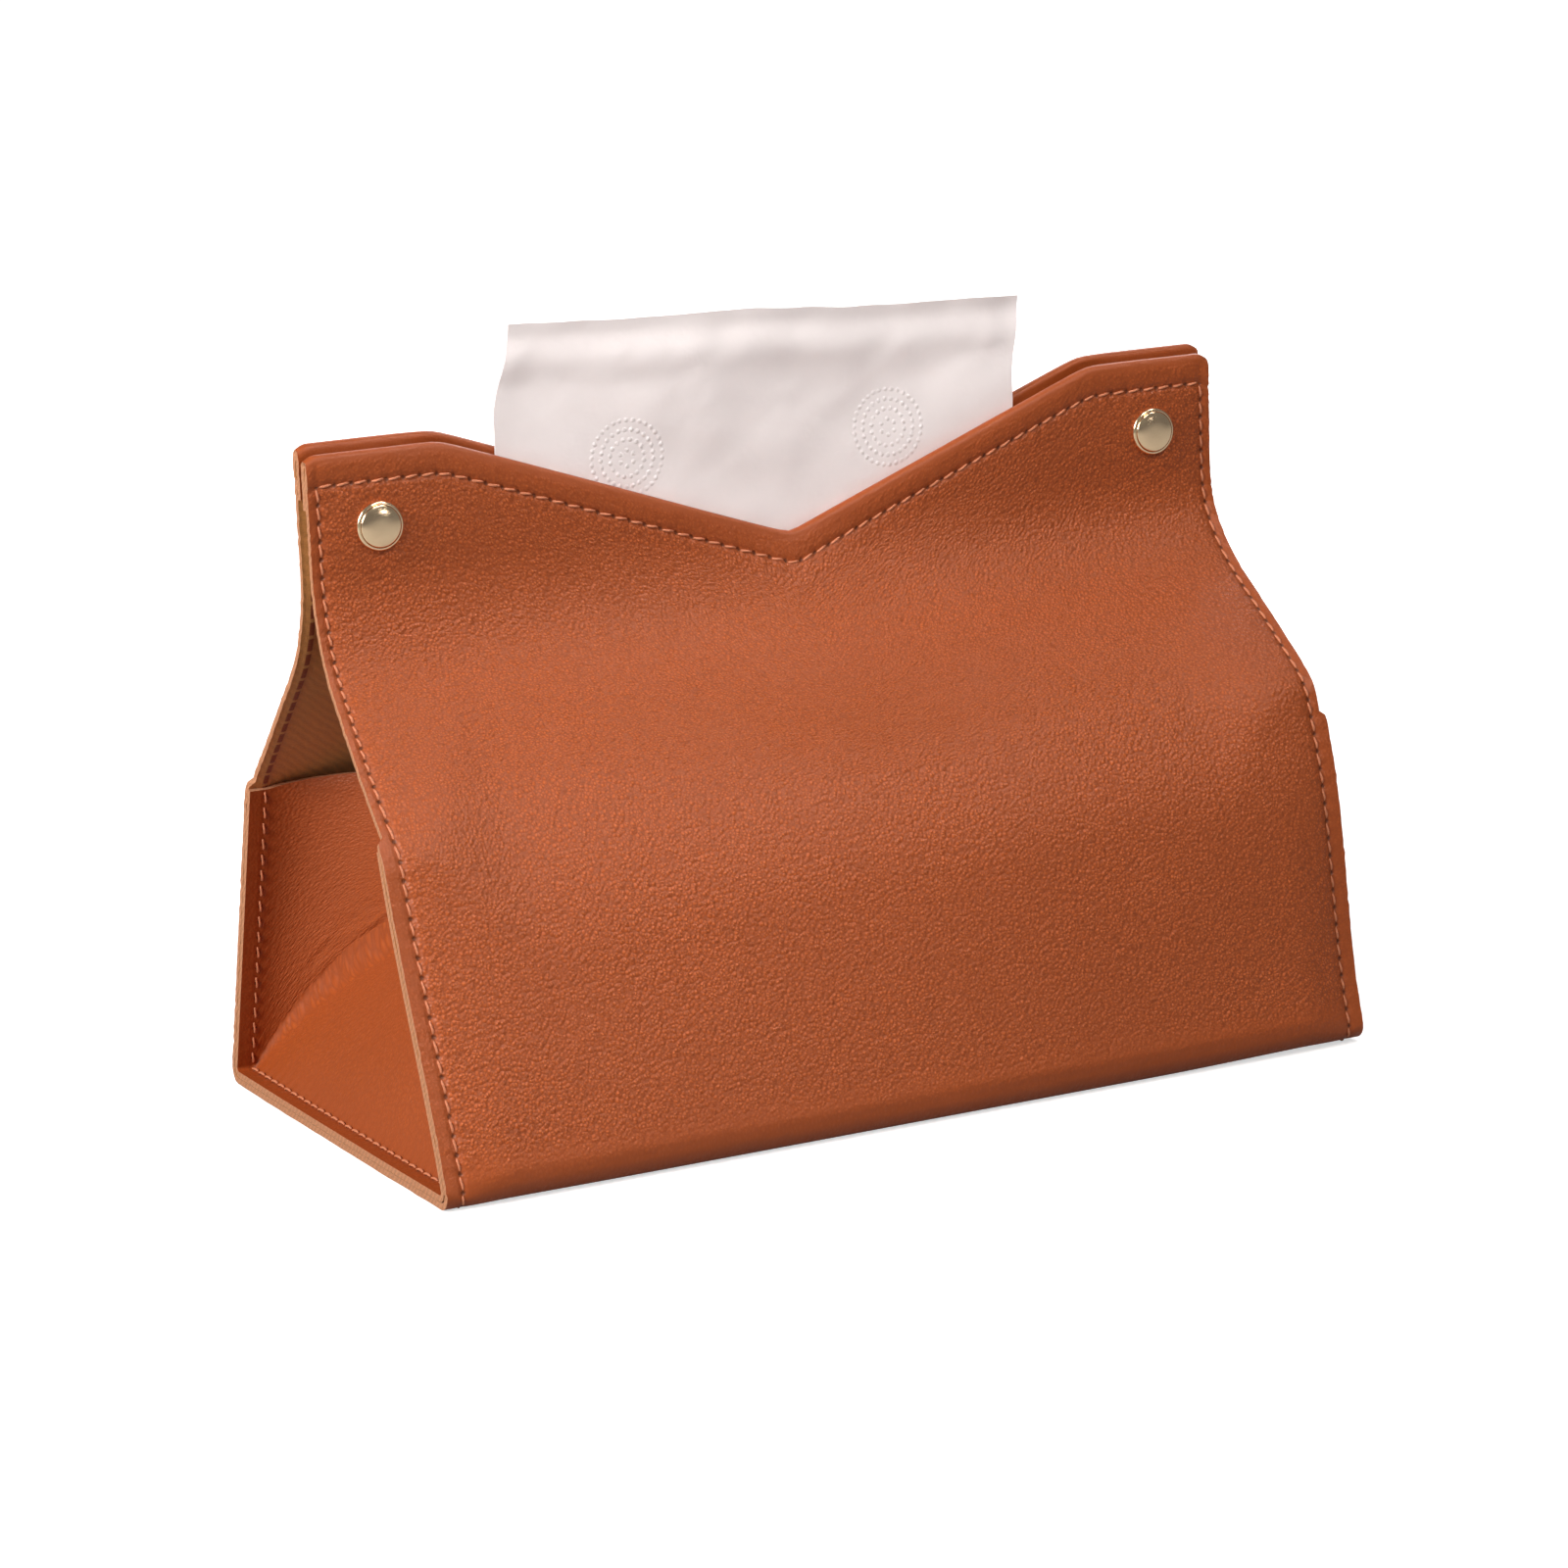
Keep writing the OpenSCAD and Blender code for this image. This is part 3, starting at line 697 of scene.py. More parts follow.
def leather_finish(nodes):
    """The grain side: pebbled, with puckers along the stitches and smoother folds."""
    base = colours().leather
    flat = nodes.uv("flat")
    grain = nodes.add("Attribute", attribute_name="grain")["Fac"]
    grains = nodes.group("pebbles", {"Vector": flat, "Size": PEBBLE})
    height = grains["Height"]
    patch = nodes.group("patches", {"Vector": flat, "Size": LEATHER_PATCH})["Mask"]
    marks = stitch_marks(nodes)
    strength = nodes.times(grain, nodes.ramp(patch, 0.0, 1.0, 0.75, 1.0))
    # Painted highlight: the pebbles' tops are made paler, as if they caught the light
    painted_glint = nodes.times(nodes.ramp(height, 0.55, 0.85), strength, 0.6)
    tone = nodes.blend(patch, paint(base, 0.9), paint(base, 1.08))
    tone = nodes.blend(painted_glint, tone, paint([a * b for a, b in zip(base, PAINTED_GLINT_TINT)]))
    # Painted shade: the valleys between the pebbles, the needle holes and the pressed stitch lines are
    # darkened
    # Where less grain is kept the colour is darker: partly pressed leather, partly painted shade in the
    # seams' margins and flanges and next to the table
    tone = nodes.marked(tone, base, (nodes.times(grains["Valleys"], strength), 0.75, 0.42),
                        (nodes.minus(1.0, grain), 0.55, 0.55), (marks["Line"], 0.3, 0.6),
                        (marks["Holes"], 0.85, 0.2))
    grained = nodes.bump(1.0, PEBBLE_DEPTH, nodes.times(height, strength))
    return {"Base Color": tone, "Roughness": nodes.ramp(height, 0.2, 1.0, 0.54, 0.38),
            "Specular IOR Level": 0.46, "Specular Tint": WARM_GLOSS,
            "Normal": nodes.bump(0.8, PUCKER_DEPTH, marks["Height"], Normal=grained)}


def fibrous(nodes, vector, size, base, dark, light):
    """Colour and height of fibres."""
    hairs = nodes.group("fibres", {"Vector": vector, "Size": size})
    return nodes.blend(hairs["Mask"], paint(base, dark), paint(base, light)), hairs["Height"]


def suede_finish(nodes):
    """The flesh side: tan felted fibres."""
    base = colours().suede
    flat = nodes.uv("flat")
    tone, height = fibrous(nodes, flat, SUEDE_FIBRE, base, 0.72, 1.18)
    patch = nodes.group("patches", {"Vector": flat, "Size": SUEDE_PATCH})["Mask"]
    marks = stitch_marks(nodes)
    # Painted shade along the pressed stitch lines
    tone = nodes.marked(tone, base, (patch, 0.3, 0.85), (marks["Line"], 0.25, 0.6))
    tone = nodes.blend(marks["Dashes"], tone, paint(colours().leather, THREAD_BEHIND))
    return {"Base Color": tone, "Roughness": 0.92, "Specular IOR Level": 0.2,
            "Sheen Weight": 0.25, "Normal": nodes.bump(0.8, SUEDE_DEPTH, height)}


def edge_finish(nodes):
    """The cut edge: pale layered fibres."""
    tone, height = fibrous(nodes, nodes.place(), EDGE_FIBRE, colours().raw_edge, 0.6, 1.15)
    return {"Base Color": tone, "Roughness": 0.88, "Specular IOR Level": 0.25,
            "Normal": nodes.bump(0.9, EDGE_DEPTH, height)}


def thread_finish(nodes):
    """Twisted sewing thread."""
    tone, height = fibrous(nodes, nodes.place(), THREAD_FIBRE, colours().thread, 0.75, 1.2)
    return {"Base Color": tone, "Roughness": 0.6, "Normal": nodes.bump(0.5, THREAD_DEPTH, height)}


def metal_finish(nodes, base, rough, mark_size):
    """Plated metal with fine handling marks."""
    patch = nodes.group("patches", {"Vector": nodes.place(), "Size": mark_size})["Mask"]
    return {"Base Color": nodes.blend(patch, paint(base, 0.94), paint(base, 1.04)),
            "Roughness": nodes.ramp(patch, 0, 1, rough * 0.8, rough * 1.3),
            "Metallic": 1.0, "Normal": nodes.bump(0.1, METAL_DEPTH, patch)}


def plating_finish(nodes):
    """Polished pale gold."""
    return metal_finish(nodes, colours().plating, 0.17, PLATING_MARK)


def brass_finish(nodes):
    """Satin brass."""
    return metal_finish(nodes, colours().brass, 0.32, BRASS_MARK)


# The rosettes on the tissue: their spacing, the middle of one, the radius and dots of each ring
EMBOSS_CELL = 66 * MM
EMBOSS_MIDDLE = (-36 * MM, 145 * MM)
EMBOSS_RINGS = ((8.6 * MM, 34), (6.4 * MM, 25), (4.2 * MM, 16), (1.8 * MM, 6))
EMBOSS_DOT = (0.6 * MM, 0.25 * MM)
CREPE_LINES = 420.0


def tissue_finish(nodes):
    """Two-ply tissue: crepe, soft creases and rosettes of embossed dots."""
    base = colours().tissue
    flat = nodes.uv("flat")
    drawn_out = nodes.add("Mapping", {"Vector": flat, "Scale": (1, 4, 1)})[0]
    crepe = nodes.clouds(drawn_out, CREPE_LINES, 3.0)["Fac"]
    patch = nodes.group("patches", {"Vector": flat, "Size": TISSUE_PATCH})["Mask"]
    place = nodes.add("SeparateXYZ", {0: flat})
    across, up = (nodes.maths("WRAP", nodes.minus(place[i], EMBOSS_MIDDLE[i]), EMBOSS_CELL / 2,
                              -EMBOSS_CELL / 2) for i in (0, 1))
    far = nodes.hypotenuse(across, up)
    turns = nodes.maths("DIVIDE", nodes.maths("ARCTAN2", up, across), math.tau)
    dots = 0.0
    for radius, count in EMBOSS_RINGS:
        share = nodes.minus(nodes.maths("FRACT", nodes.times(turns, float(count))), 0.5)
        along = nodes.times(share, math.tau * radius / count)
        to_dot = nodes.hypotenuse(along, nodes.minus(far, radius))
        dots = nodes.maths("MAXIMUM", dots, nodes.ramp(to_dot, *EMBOSS_DOT))
    tone = nodes.blend(patch, paint(base, 0.97), paint(base, 1.02))
    creased = nodes.bump(0.35, CREASE_DEPTH, patch)
    creped = nodes.bump(0.3, CREPE_DEPTH, crepe, Normal=creased)
    return {"Base Color": nodes.marked(tone, base, (dots, 0.07, 0.86)), "Roughness": 0.9,
            "Specular IOR Level": 0.2, "Normal": nodes.bump(0.7, DOT_DEPTH, dots, Normal=creped)}


# The share of the white surroundings that reflections show, and of the floor's colour that lights
# the cover from below
MIRRORED = 0.16
FLOOR_LIT_SHARE = 0.45
# The floor's own light near the cover and far from it, and the distances between which it rises
FLOOR_GLOW = (0.6, 1.0)
GLOW_RUN = (0.35, 1.0)
WHITE = (1, 1, 1, 1)


def seen_share(nodes):
    """1 for the camera's own rays, and a share of it for reflections and for what shows through."""
    path = nodes.add("LightPath")
    mirrored = nodes.maths("MAXIMUM", path["Is Glossy Ray"], path["Is Transmission Ray"])
    return nodes.maths("MAXIMUM", path["Is Camera Ray"], nodes.times(mirrored, MIRRORED))


def floor_finish(nodes):
    """Pale floor: white from afar, and darker in what the cover mirrors."""
    seen = seen_share(nodes)
    base = colours().floor
    far = nodes.add("VectorMath", {0: nodes.place()}, operation="LENGTH")["Value"]
    glow = nodes.ramp(far, *GLOW_RUN, *FLOOR_GLOW)
    return {"Base Color": nodes.blend(seen, paint(base, FLOOR_LIT_SHARE), paint(base)),
            "Roughness": 0.9, "Specular IOR Level": 0.0, "Emission Color": WHITE,
            "Emission Strength": nodes.times(seen, glow)}


FINISHES = {"tan_leather": leather_finish, "suede_back": suede_finish, "raw_edge": edge_finish,
            "sewing_thread": thread_finish, "pale_gold_plating": plating_finish,
            "satin_brass": brass_finish, "tissue_paper": tissue_finish, "pale_floor": floor_finish}


def material_of(name):
    """The material of a finish, built the first time that it is asked for."""
    if name not in bpy.data.materials:
        material = bpy.data.materials.new(name)
        material.use_nodes = True
        shader = next(n for n in material.node_tree.nodes if n.type == "BSDF_PRINCIPLED")
        nodes = Nodes(material.node_tree)
        nodes.feed(shader.inputs, FINISHES[name](nodes))
    return bpy.data.materials[name]


# The leather strip
BEND_REACH = 24 * MM
MARGIN_SHARES = (1.0, 0.72, 0.45, 0.2)
PANEL_COLUMNS = 58
COLUMNS = 2 * (len(MARGIN_SHARES) + PANEL_COLUMNS) + 1
GRADING = 1.3
FRAY, FRAY_WAVES = 0.24 * MM, 900
FAR_AWAY = 50 * MM
# Where the strip narrows from the wrap's length to the flap's, along it from the fold
FLAP_STEP = (-0.3 * MM, 0.9 * MM)
# The grain that is left where the leather is pressed, on the hem and in the seams' margins
# Less grain also darkens the leather's colour: partly pressed leather, partly painted shade
PRESSED_GRAIN, HEM_GRAIN, MARGIN_GRAIN = 0.2, 0.55, 0.45
# How far inside the seam, below the hem's stitches and above the table it comes back
GRAIN_INSIDE, GRAIN_BELOW, GRAIN_ABOVE = (-0.5 * MM, 1.5 * MM), (-1 * MM, 2 * MM), (3 * MM, 14 * MM)


def bend_places(way):
    """Where a flap starts to turn and where it has turned fully."""
    turned_d = FOLD_D - BEND_REACH * math.sin(flap_lean())
    turned_z = FOLD_Z + BEND_REACH * math.cos(flap_lean())
    return (0, way * FOLD_D, FOLD_Z), (0, way * turned_d, turned_z)


def halves():
    """The front half and the back half of the strip."""
    return (Half("front", -1, FRONT_HIGH.z, 3.0), Half("back", 1, BACK_HIGH.z, 31.0))


def column_x(index, edge):
    """Place of a column of the strip, from its left edge to its right edge."""
    side = -1 if index < COLUMNS / 2 else 1
    step = index if side < 0 else COLUMNS - 1 - index
    if step < len(MARGIN_SHARES):
        return side * (seam_x() + (edge - seam_x()) * MARGIN_SHARES[step])
    share = (step - len(MARGIN_SHARES)) / PANEL_COLUMNS
    return side * seam_x() * (1 - share ** GRADING)


def nearest_line(half, x, z):
    """The stitch line that is nearest to a place on the outer face."""
    to_hem = mouth_edge(x, half.top) - z - sizes().hem_stitch
    if z > FOLD_Z and abs(to_hem) < abs(seam_x() - abs(x)):
        return "hem"
    return "none" if to_hem < 0 else "side"


def beside_line(half, line, x, z, length):
    """Place beside a stitch line: the distance along it and the distance from it."""
    pitch = sizes().stitch_pitch
    if line == "none":
        return 0.0, FAR_AWAY
    if line == "hem":
        span = hem_length(seam_x())
        count = round(2 * span / pitch)
        below = mouth_edge(x, half.top) - z
        return (hem_length(x) + span) * count * pitch / (2 * span), below - sizes().hem_stitch
    lower = round(half.at_fold / pitch)
    if length < half.at_fold:
        return length * lower * pitch / half.at_fold, seam_x() - abs(x)
    span = half.at_corner - half.at_fold
    share = (length - half.at_fold) / span
    return (lower + share * round(span / pitch)) * pitch, seam_x() - abs(x)


def grain_at(half, part, x, z):
    """How much of its grain the leather keeps."""
    if part in ("turn", "inner"):
        return PRESSED_GRAIN
    in_panel = smooth(*GRAIN_INSIDE, seam_x() - abs(x))
    in_flap = smooth(*GRAIN_BELOW, mouth_edge(x, half.top) - z - sizes().hem_stitch)
    in_hem = mix(HEM_GRAIN, 1, in_flap) if part in ("hem", "flap") else 1
    return mix(PRESSED_GRAIN, mix(MARGIN_GRAIN, in_hem, in_panel), smooth(*GRAIN_ABOVE, z))


def build_half(half):
    """One half of the leather strip as one sheet, from the floor over its hem."""
    bm, places = grid_of(COLUMNS, len(ROWS))
    flat, stitch, grain = layers(bm)
    info = {}
    for v, (i, j) in places.items():
        part, share = ROWS[j]
        length = half.lengths[j]
        in_flap = smooth(*FLAP_STEP, length - half.at_fold)
        x = column_x(i, mix(HALF_LENGTH, HALF_FLAP, in_flap))
        if i in (0, COLUMNS - 1):
            x += FRAY * flutter(i, length * FRAY_WAVES, half.seed)
        v.co, _ = half.point(x, part, share)
        v[grain] = grain_at(half, part, x, v.co.z)
        info[v] = (x, outline(half.way, x, half.top, part, share)[1], length, j)
    for face in bm.faces:
        corners = [info[v] for v in face.verts]
        x, z = (sum(c[k] for c in corners) / 4 for k in (0, 1))
        line = "none" if max(c[3] for c in corners) > TURN_ROW else nearest_line(half, x, z)
        for loop in face.loops:
            x, z, length, _ = info[loop.vert]
            loop[flat].uv = (x, length)
            loop[stitch].uv = beside_line(half, line, x, z, length)
    face_towards(bm, min(bm.faces, key=lambda f: f.calc_center_median().z), (0, 0, -1))
    area = sum(f.calc_area() for f in bm.faces)
    obj = leather_sheet(half.name + "_leather", bm)
    flap = half.name + "_flap"
    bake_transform(obj, "root", flap, *bend_places(half.way))
    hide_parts("wrap_panel", flap)


class COVER_OT_leather(bpy.types.Operator):
    """Makes the leather strip: the front, the floor, the back and the two flaps"""

    bl_idname = "cover.leather"
    bl_label = "Leather strip"

    def execute(self, context):
        for half in halves():
            build_half(half)
        return {"FINISHED"}


# The gussets
FLANGE_SHARES = (0.0, 0.35, 0.7, 1.0)
GUSSET_TURNS = 36
TOP_RISE = 4.5 * MM
CREASE_SLACK = 9 * MM
TURN_LENGTH = 27 * MM
# Steps along its seam line, and how much closer the wall's are at the bottom
FLOOR_STEPS, BEND_STEPS, WALL_STEPS, WALL_GRADING = 14, 7, 80, 1.4
# Wrinkles: their height, how far above the crease they lie, and the turns where they come and go
WRINKLE, WRINKLE_AT, WRINKLE_BAND = 0.38 * MM, 6 * MM, 8 * MM
WRINKLE_START, WRINKLE_END = (0.1, 0.7), (1.55, 1.3)
UNEVEN = 0.5 * MM
FLANGE_GRAIN, GUSSET_GRAIN = 0.3, 0.6
WELD = 0.02 * MM


def gusset_inset():
    """Depth of a gusset's grain side below the wrap's outer face."""
    return 2 * sizes().leather + SEAM_PLAY


def gusset_root():
    """Place of the line where a gusset leaves its seam."""
    return HALF_LENGTH - sizes().seam_margin - sizes().thread_d


def gusset_wall(z):
    """Distance of the gusset's sewn side from the middle plane."""
    lean = wall_lean(HALF_LENGTH)
    return FOLD_D + (FOLD_Z - z) * math.tan(lean) - gusset_inset() / math.cos(lean)


def end_twist(side, way, z):
    """How far the twisted front carries the gusset out with it."""
    return twist(way, side * HALF_LENGTH, z, *WALL_TWIST)


def gusset_path(side, slack=0.0):
    """The seam line of a gusset from front to back, with the heights above its bottom fold."""
    inset = gusset_inset()
    centre, rise, radius = base_circle(HALF_LENGTH, inset, slack)
    lean = wall_lean(HALF_LENGTH)
    start = rise + radius * math.sin(lean)
    half = [(centre * i / FLOOR_STEPS, inset, 0.0) for i in range(FLOOR_STEPS)]
    for i in range(BEND_STEPS):
        angle = mix(-math.pi / 2, lean, i / BEND_STEPS)
        half.append((centre + radius * math.cos(angle), rise + radius * math.sin(angle), 0.0))
    for i in range(WALL_STEPS + 1):
        z = mix(start, GUSSET_HIGH.z, (i / WALL_STEPS) ** WALL_GRADING)
        half.append((gusset_wall(z), z, z - start))
    return [(-d - end_twist(side, -1, z), z, above) for d, z, above in half[:0:-1]] + half


def drawn_in(side, y, z, turn):
    """A point of the gusset, from its seam at turn 0 to its middle fold at a quarter turn."""
    inset = gusset_inset()
    top = GUSSET_HIGH.z
    draw = gusset_root() - sizes().leather - GUSSET_LOW.x
    low = inset + math.sin(turn) * (sizes().gusset_crease - inset)
    new_z = mix(low, top + TOP_RISE * math.sin(turn), (z - inset) / (top - inset))
    way = -1 if y < 0 else 1
    was = gusset_wall(z) + end_twist(side, way, z)
    now = gusset_wall(min(new_z, top)) + end_twist(side, way, new_z)
    return draw * math.sin(turn), y * math.cos(turn) * now / was, new_z


def gusset_wrinkle(along, above, turn, seed):
    """Fine wrinkles in a band above the crease, and a soft unevenness all over."""
    band = bell(above - WRINKLE_AT, WRINKLE_BAND)
    band = band * smooth(*WRINKLE_START, turn) * smooth(*WRINKLE_END, turn)
    lines = flutter(above * 330 + 1.5 * math.sin(turn * 9), turn * 7, seed)
    lines += 0.6 * flutter(above * 700, turn * 16, seed + 3)
    slack = flutter(along * 22, turn * 1.6, seed + 7)
    return WRINKLE * band * lines + UNEVEN * slack * smooth(0.0, 0.5, turn)


def build_gusset(side, end, seed):
    """One end: a sheet that is sewn inside the strip and drawn in to a middle fold."""
    flange = len(FLANGE_SHARES) - 1
    turned = []
    for j in range(flange + 1 + GUSSET_TURNS):
        turn = max(j - flange, 0) / GUSSET_TURNS * math.pi / 2
        turned.append((turn, gusset_path(side, CREASE_SLACK * math.sin(turn))))
    run = lengths_along(gusset_path(side))
    bm, places = grid_of(len(run), len(turned))
    flat, stitch, grain = layers(bm)
    thread = sizes().thread_d
    info = {}
    for v, (i, j) in places.items():
        turn, bent = turned[j]
        y, z, above = bent[i]
        inward, y, z = drawn_in(side, y, z, turn)
        x = gusset_root() - inward
        if j < flange:
            x = mix(HALF_LENGTH, gusset_root(), FLANGE_SHARES[j])
        v.co = (side * x, y, z + corner_lift(side * x, y, z))
        across = gusset_root() + thread - x if j <= flange else thread + turn * TURN_LENGTH
        info[v] = (run[i] - run[-1] / 2, across, above, turn)
    for face in bm.faces:
        for loop in face.loops:
            along, across, _, _ = info[loop.vert]
            loop[flat].uv = (along, across)
            loop[stitch].uv = (along + 0.5 * sizes().stitch_pitch, across)
    middles = {f: f.calc_center_median() for f in bm.faces}
    face_towards(bm, min(bm.faces, key=lambda f: middles[f].z - abs(middles[f].x)), (0, 0, 1))
    area = sum(f.calc_area() for f in bm.faces)
    moves = {}
    for v in bm.verts:
        along, _, above, turn = info[v]
        moves[v] = v.normal * gusset_wrinkle(along, above, turn, seed)
        v[grain] = mix(FLANGE_GRAIN, GUSSET_GRAIN, smooth(0, 0.25, turn))
    for v, move in moves.items():
        v.co += move
    bmesh.ops.remove_doubles(bm, verts=bm.verts, dist=WELD)
    obj = leather_sheet(end + "_gusset_leather", bm)
    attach(obj, "root")
    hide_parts(end + "_gusset")


class COVER_OT_gussets(bpy.types.Operator):
    """Makes the two drawn-in ends"""

    bl_idname = "cover.gussets"
    bl_label = "Gussets"

    def execute(self, context):
        build_gusset(-1, "left", 2.0)
        build_gusset(1, "right", 9.0)
        return {"FINISHED"}


# Stitching: the thread's shape
STITCH_RINGS = 6
STITCH_SIDES = 6
END_WIDTH = 0.7
END_SINK = 0.34 * MM
THREAD_LIFT = 0.16 * MM
THREAD_SLANT = 0.16 * MM
PLY, PLY_TWIST = 0.12, 2.6
LOOK_AHEAD = 0.02
BOBBIN_LIFT = 0.05 * MM
INNER_LIFT = -0.1 * MM
LEAST_Z = 0.1 * MM


def stitch_template():
    """One straight thread along X from 0 to 1, with rings that can be bent."""
    bm = bmesh.new()
    bmesh.ops.create_circle(bm, cap_ends=True, radius=0.5, segments=STITCH_SIDES)
    quarter_turn = Matrix.Rotation(math.pi / 2, 3, "Y")
    bmesh.ops.rotate(bm, verts=bm.verts, cent=(0, 0, 0), matrix=quarter_turn)
    front = list(bm.faces)
    for _ in range(STITCH_RINGS):
        made = bmesh.ops.extrude_face_region(bm, geom=front)["geom"]
        front = [g for g in made if isinstance(g, bmesh.types.BMFace)]
        verts = {v for f in front for v in f.verts}
        bmesh.ops.translate(bm, verts=list(verts), vec=(1 / STITCH_RINGS, 0, 0))
    inner = [f for f in bm.faces if len(f.verts) > 4 and 0.01 < f.calc_center_median().x < 0.99]
    bmesh.ops.delete(bm, geom=inner, context="FACES_ONLY")
    bmesh.ops.recalc_face_normals(bm, faces=bm.faces)
    mesh = bpy.data.meshes.new("stitch_template")
    bm.to_mesh(mesh)
    bm.free()
    return mesh


def lay_stitch(bm, template, spot, number, count):
    """Bends a copy of the template along its part of a stitch line, with its ends sunk."""
    before = len(bm.verts)
    bm.from_mesh(template)
    bm.verts.ensure_lookup_table()
    half_stitch = sizes().stitch_length / sizes().stitch_pitch / 2
    for v in bm.verts[before:]:
        share = v.co.x
        at = (number + 0.5 + (share * 2 - 1) * half_stitch) / count
        place, out = spot(at)
        run = (spot(at + LOOK_AHEAD / count)[0] - place).normalized()
        beside = out.cross(run).normalized()
        thick = sizes().thread_d * sizes().thread_swell
        thick *= mix(END_WIDTH, 1, math.sin(math.pi * share))
        turn = math.atan2(v.co.z, v.co.y)
        ply = 1 + PLY * math.cos(2 * (turn + share * PLY_TWIST))
        r = math.hypot(v.co.y, v.co.z) * thick * ply
        up = r * math.sin(turn) + THREAD_LIFT - END_SINK * (2 * abs(share - 0.5)) ** 3
        aside = r * math.cos(turn) + THREAD_SLANT * math.sin((share - 0.5) * math.pi)
        v.co = place + out * up + beside * aside


def sew(name, *rows):
    """Rows of stitches as one piece. A row is its count and its spot, which gives a place and
    direction at a share of the row."""
    bm = bmesh.new()
    template = stitch_template()
    for count, spot in rows:
        for number in range(count):
            lay_stitch(bm, template, spot, number, count)
    bpy.data.meshes.remove(template)
    return finish_mesh(name, bm, "sewing_thread")


def end_row(half, side, start, end):
    """The row of stitches along one end of a half, between two lengths along the strip."""
    def spot(at):
        """The place and direction of a stitch at a share of the row."""
        return half.point(side * seam_x(), *half.row_at(start + at * (end - start)))

    return round((end - start) / sizes().stitch_pitch), spot


def seam_thread(side, end):
    """The needle thread of one end seam, down the front, under the floor and up the back."""
    rows = [end_row(half, side, 0.0, half.at_fold) for half in halves()]
    obj = sew(end + "_seam_stitches", *rows)
    for v in obj.data.vertices:
        v.co.z = max(v.co.z, LEAST_Z)
    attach(obj, "root")
    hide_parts(end + "_seam_thread")


def bobbin_thread(side, end):
    """The thread of one end seam on the gusset's side."""
    path = [Vector((side * seam_x(), y, z)) for y, z, _ in gusset_path(side)]
    run = lengths_along(gusset_path(side))

    def spot(at):
        """The place and direction of a stitch at a share of the seam line."""
        want = at * run[-1]
        i = next(i for i in range(len(path) - 1) if want <= run[i + 1] or i == len(path) - 2)
        place = path[i].lerp(path[i + 1], (want - run[i]) / (run[i + 1] - run[i]))
        ahead = (path[i + 1] - path[i]).normalized()
        out = Vector((0, -ahead.z, ahead.y))
        place.z += corner_lift(*place)
        return place + out * BOBBIN_LIFT, out

    obj = sew(end + "_bobbin_stitches", (round(run[-1] / sizes().stitch_pitch), spot))
    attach(obj, "root")
    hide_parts(end + "_bobbin_thread")


def hem_thread(half):
    """The stitches of a flap: up both side edges and along both faces of the hem."""
    reach = hem_length(seam_x())
    outer_share = (HEM_BAND - sizes().hem_stitch) / (HEM_BAND - sizes().leather)
    inner_share = (sizes().hem_stitch - sizes().leather) / (sizes().hem_width - sizes().leather)

    def hem_spot(at):
        """The place and direction of a stitch on the hem's outside."""
        return half.point(hem_place((2 * at - 1) * reach), "hem", outer_share)

    def inner_spot(at):
        """The place and direction of a stitch on the hem's inside."""
        return half.point(hem_place((2 * at - 1) * reach), "inner", inner_share, INNER_LIFT)

    count = round(2 * reach / sizes().stitch_pitch)
    rows = [end_row(half, side, half.at_fold, half.at_corner) for side, _ in ENDS]
    obj = sew(half.name + "_hem_stitches", *rows, (count, hem_spot), (count, inner_spot))
    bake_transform(obj, "root", half.name + "_flap", *bend_places(half.way))
    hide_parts(half.name + "_hem_thread")


class COVER_OT_stitching(bpy.types.Operator):
    """Sews the end seams, the flaps' side edges and the hems"""

    bl_idname = "cover.stitching"
    bl_label = "Stitching"

    def execute(self, context):
        for side, end in ENDS:
            seam_thread(side, end)
            bobbin_thread(side, end)
        for half in halves():
            hem_thread(half)
        return {"FINISHED"}


# Press studs: the cap's profile, as shares of its radius and of how far it stands out
CAP_STEPS = 14
CAP_TURNS = 64
DOME_REACH, DOME_FOOT, DOME_POWER = 0.87, 0.64, 3.2
BEAD, BEAD_HEIGHT, BEAD_STEPS, BEAD_START = 0.11, 0.3, 6, 0.75
BACK_REACH = 0.96
POST_RADIUS = 0.75 * MM
CAP_WELD = 0.005 * MM


def build_cap(side, end):
    """A domed cap with a rolled rim, on the post that rivets it."""
    radius = (CAP_HIGH.x - CAP_LOW.x) / 2
    base_y = -mouth_face()
    rise = base_y - CAP_LOW.y
    profile = [(0.0, rise)]
    for i in range(1, CAP_STEPS + 1):
        share = i / CAP_STEPS
        profile.append((DOME_REACH * radius * share, rise * mix(1, DOME_FOOT, share ** DOME_POWER)))
    bead = BEAD * radius
    for i in range(BEAD_STEPS + 1):
        angle = math.pi * (BEAD_START - i / BEAD_STEPS)
        r = radius - bead + bead * math.cos(angle)
        profile.append((r, BEAD_HEIGHT * rise * (1 + math.sin(angle))))
    profile += [(radius * BACK_REACH, 0.0), (POST_RADIUS, 0.0)]
    profile += [(POST_RADIUS, base_y - CAP_HIGH.y), (0.0, base_y - CAP_HIGH.y)]
    bm = bmesh.new()
    verts = [bm.verts.new((r, -h, 0)) for r, h in profile]
    edges = [bm.edges.new(pair) for pair in zip(verts, verts[1:])]
    bmesh.ops.spin(bm, geom=verts + edges, cent=(0, 0, 0), axis=(0, 1, 0), angle=math.tau,
                   steps=CAP_TURNS, use_merge=True)
    bmesh.ops.remove_doubles(bm, verts=bm.verts, dist=CAP_WELD)
    bmesh.ops.recalc_face_normals(bm, faces=bm.faces)
    bmesh.ops.translate(bm, verts=bm.verts, vec=(side * STUD_X, base_y, STUD_Z))
    obj = finish_mesh(end + "_cap", bm, "pale_gold_plating")
    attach(obj, "front_flap")
    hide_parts(end + "_snap_cap")


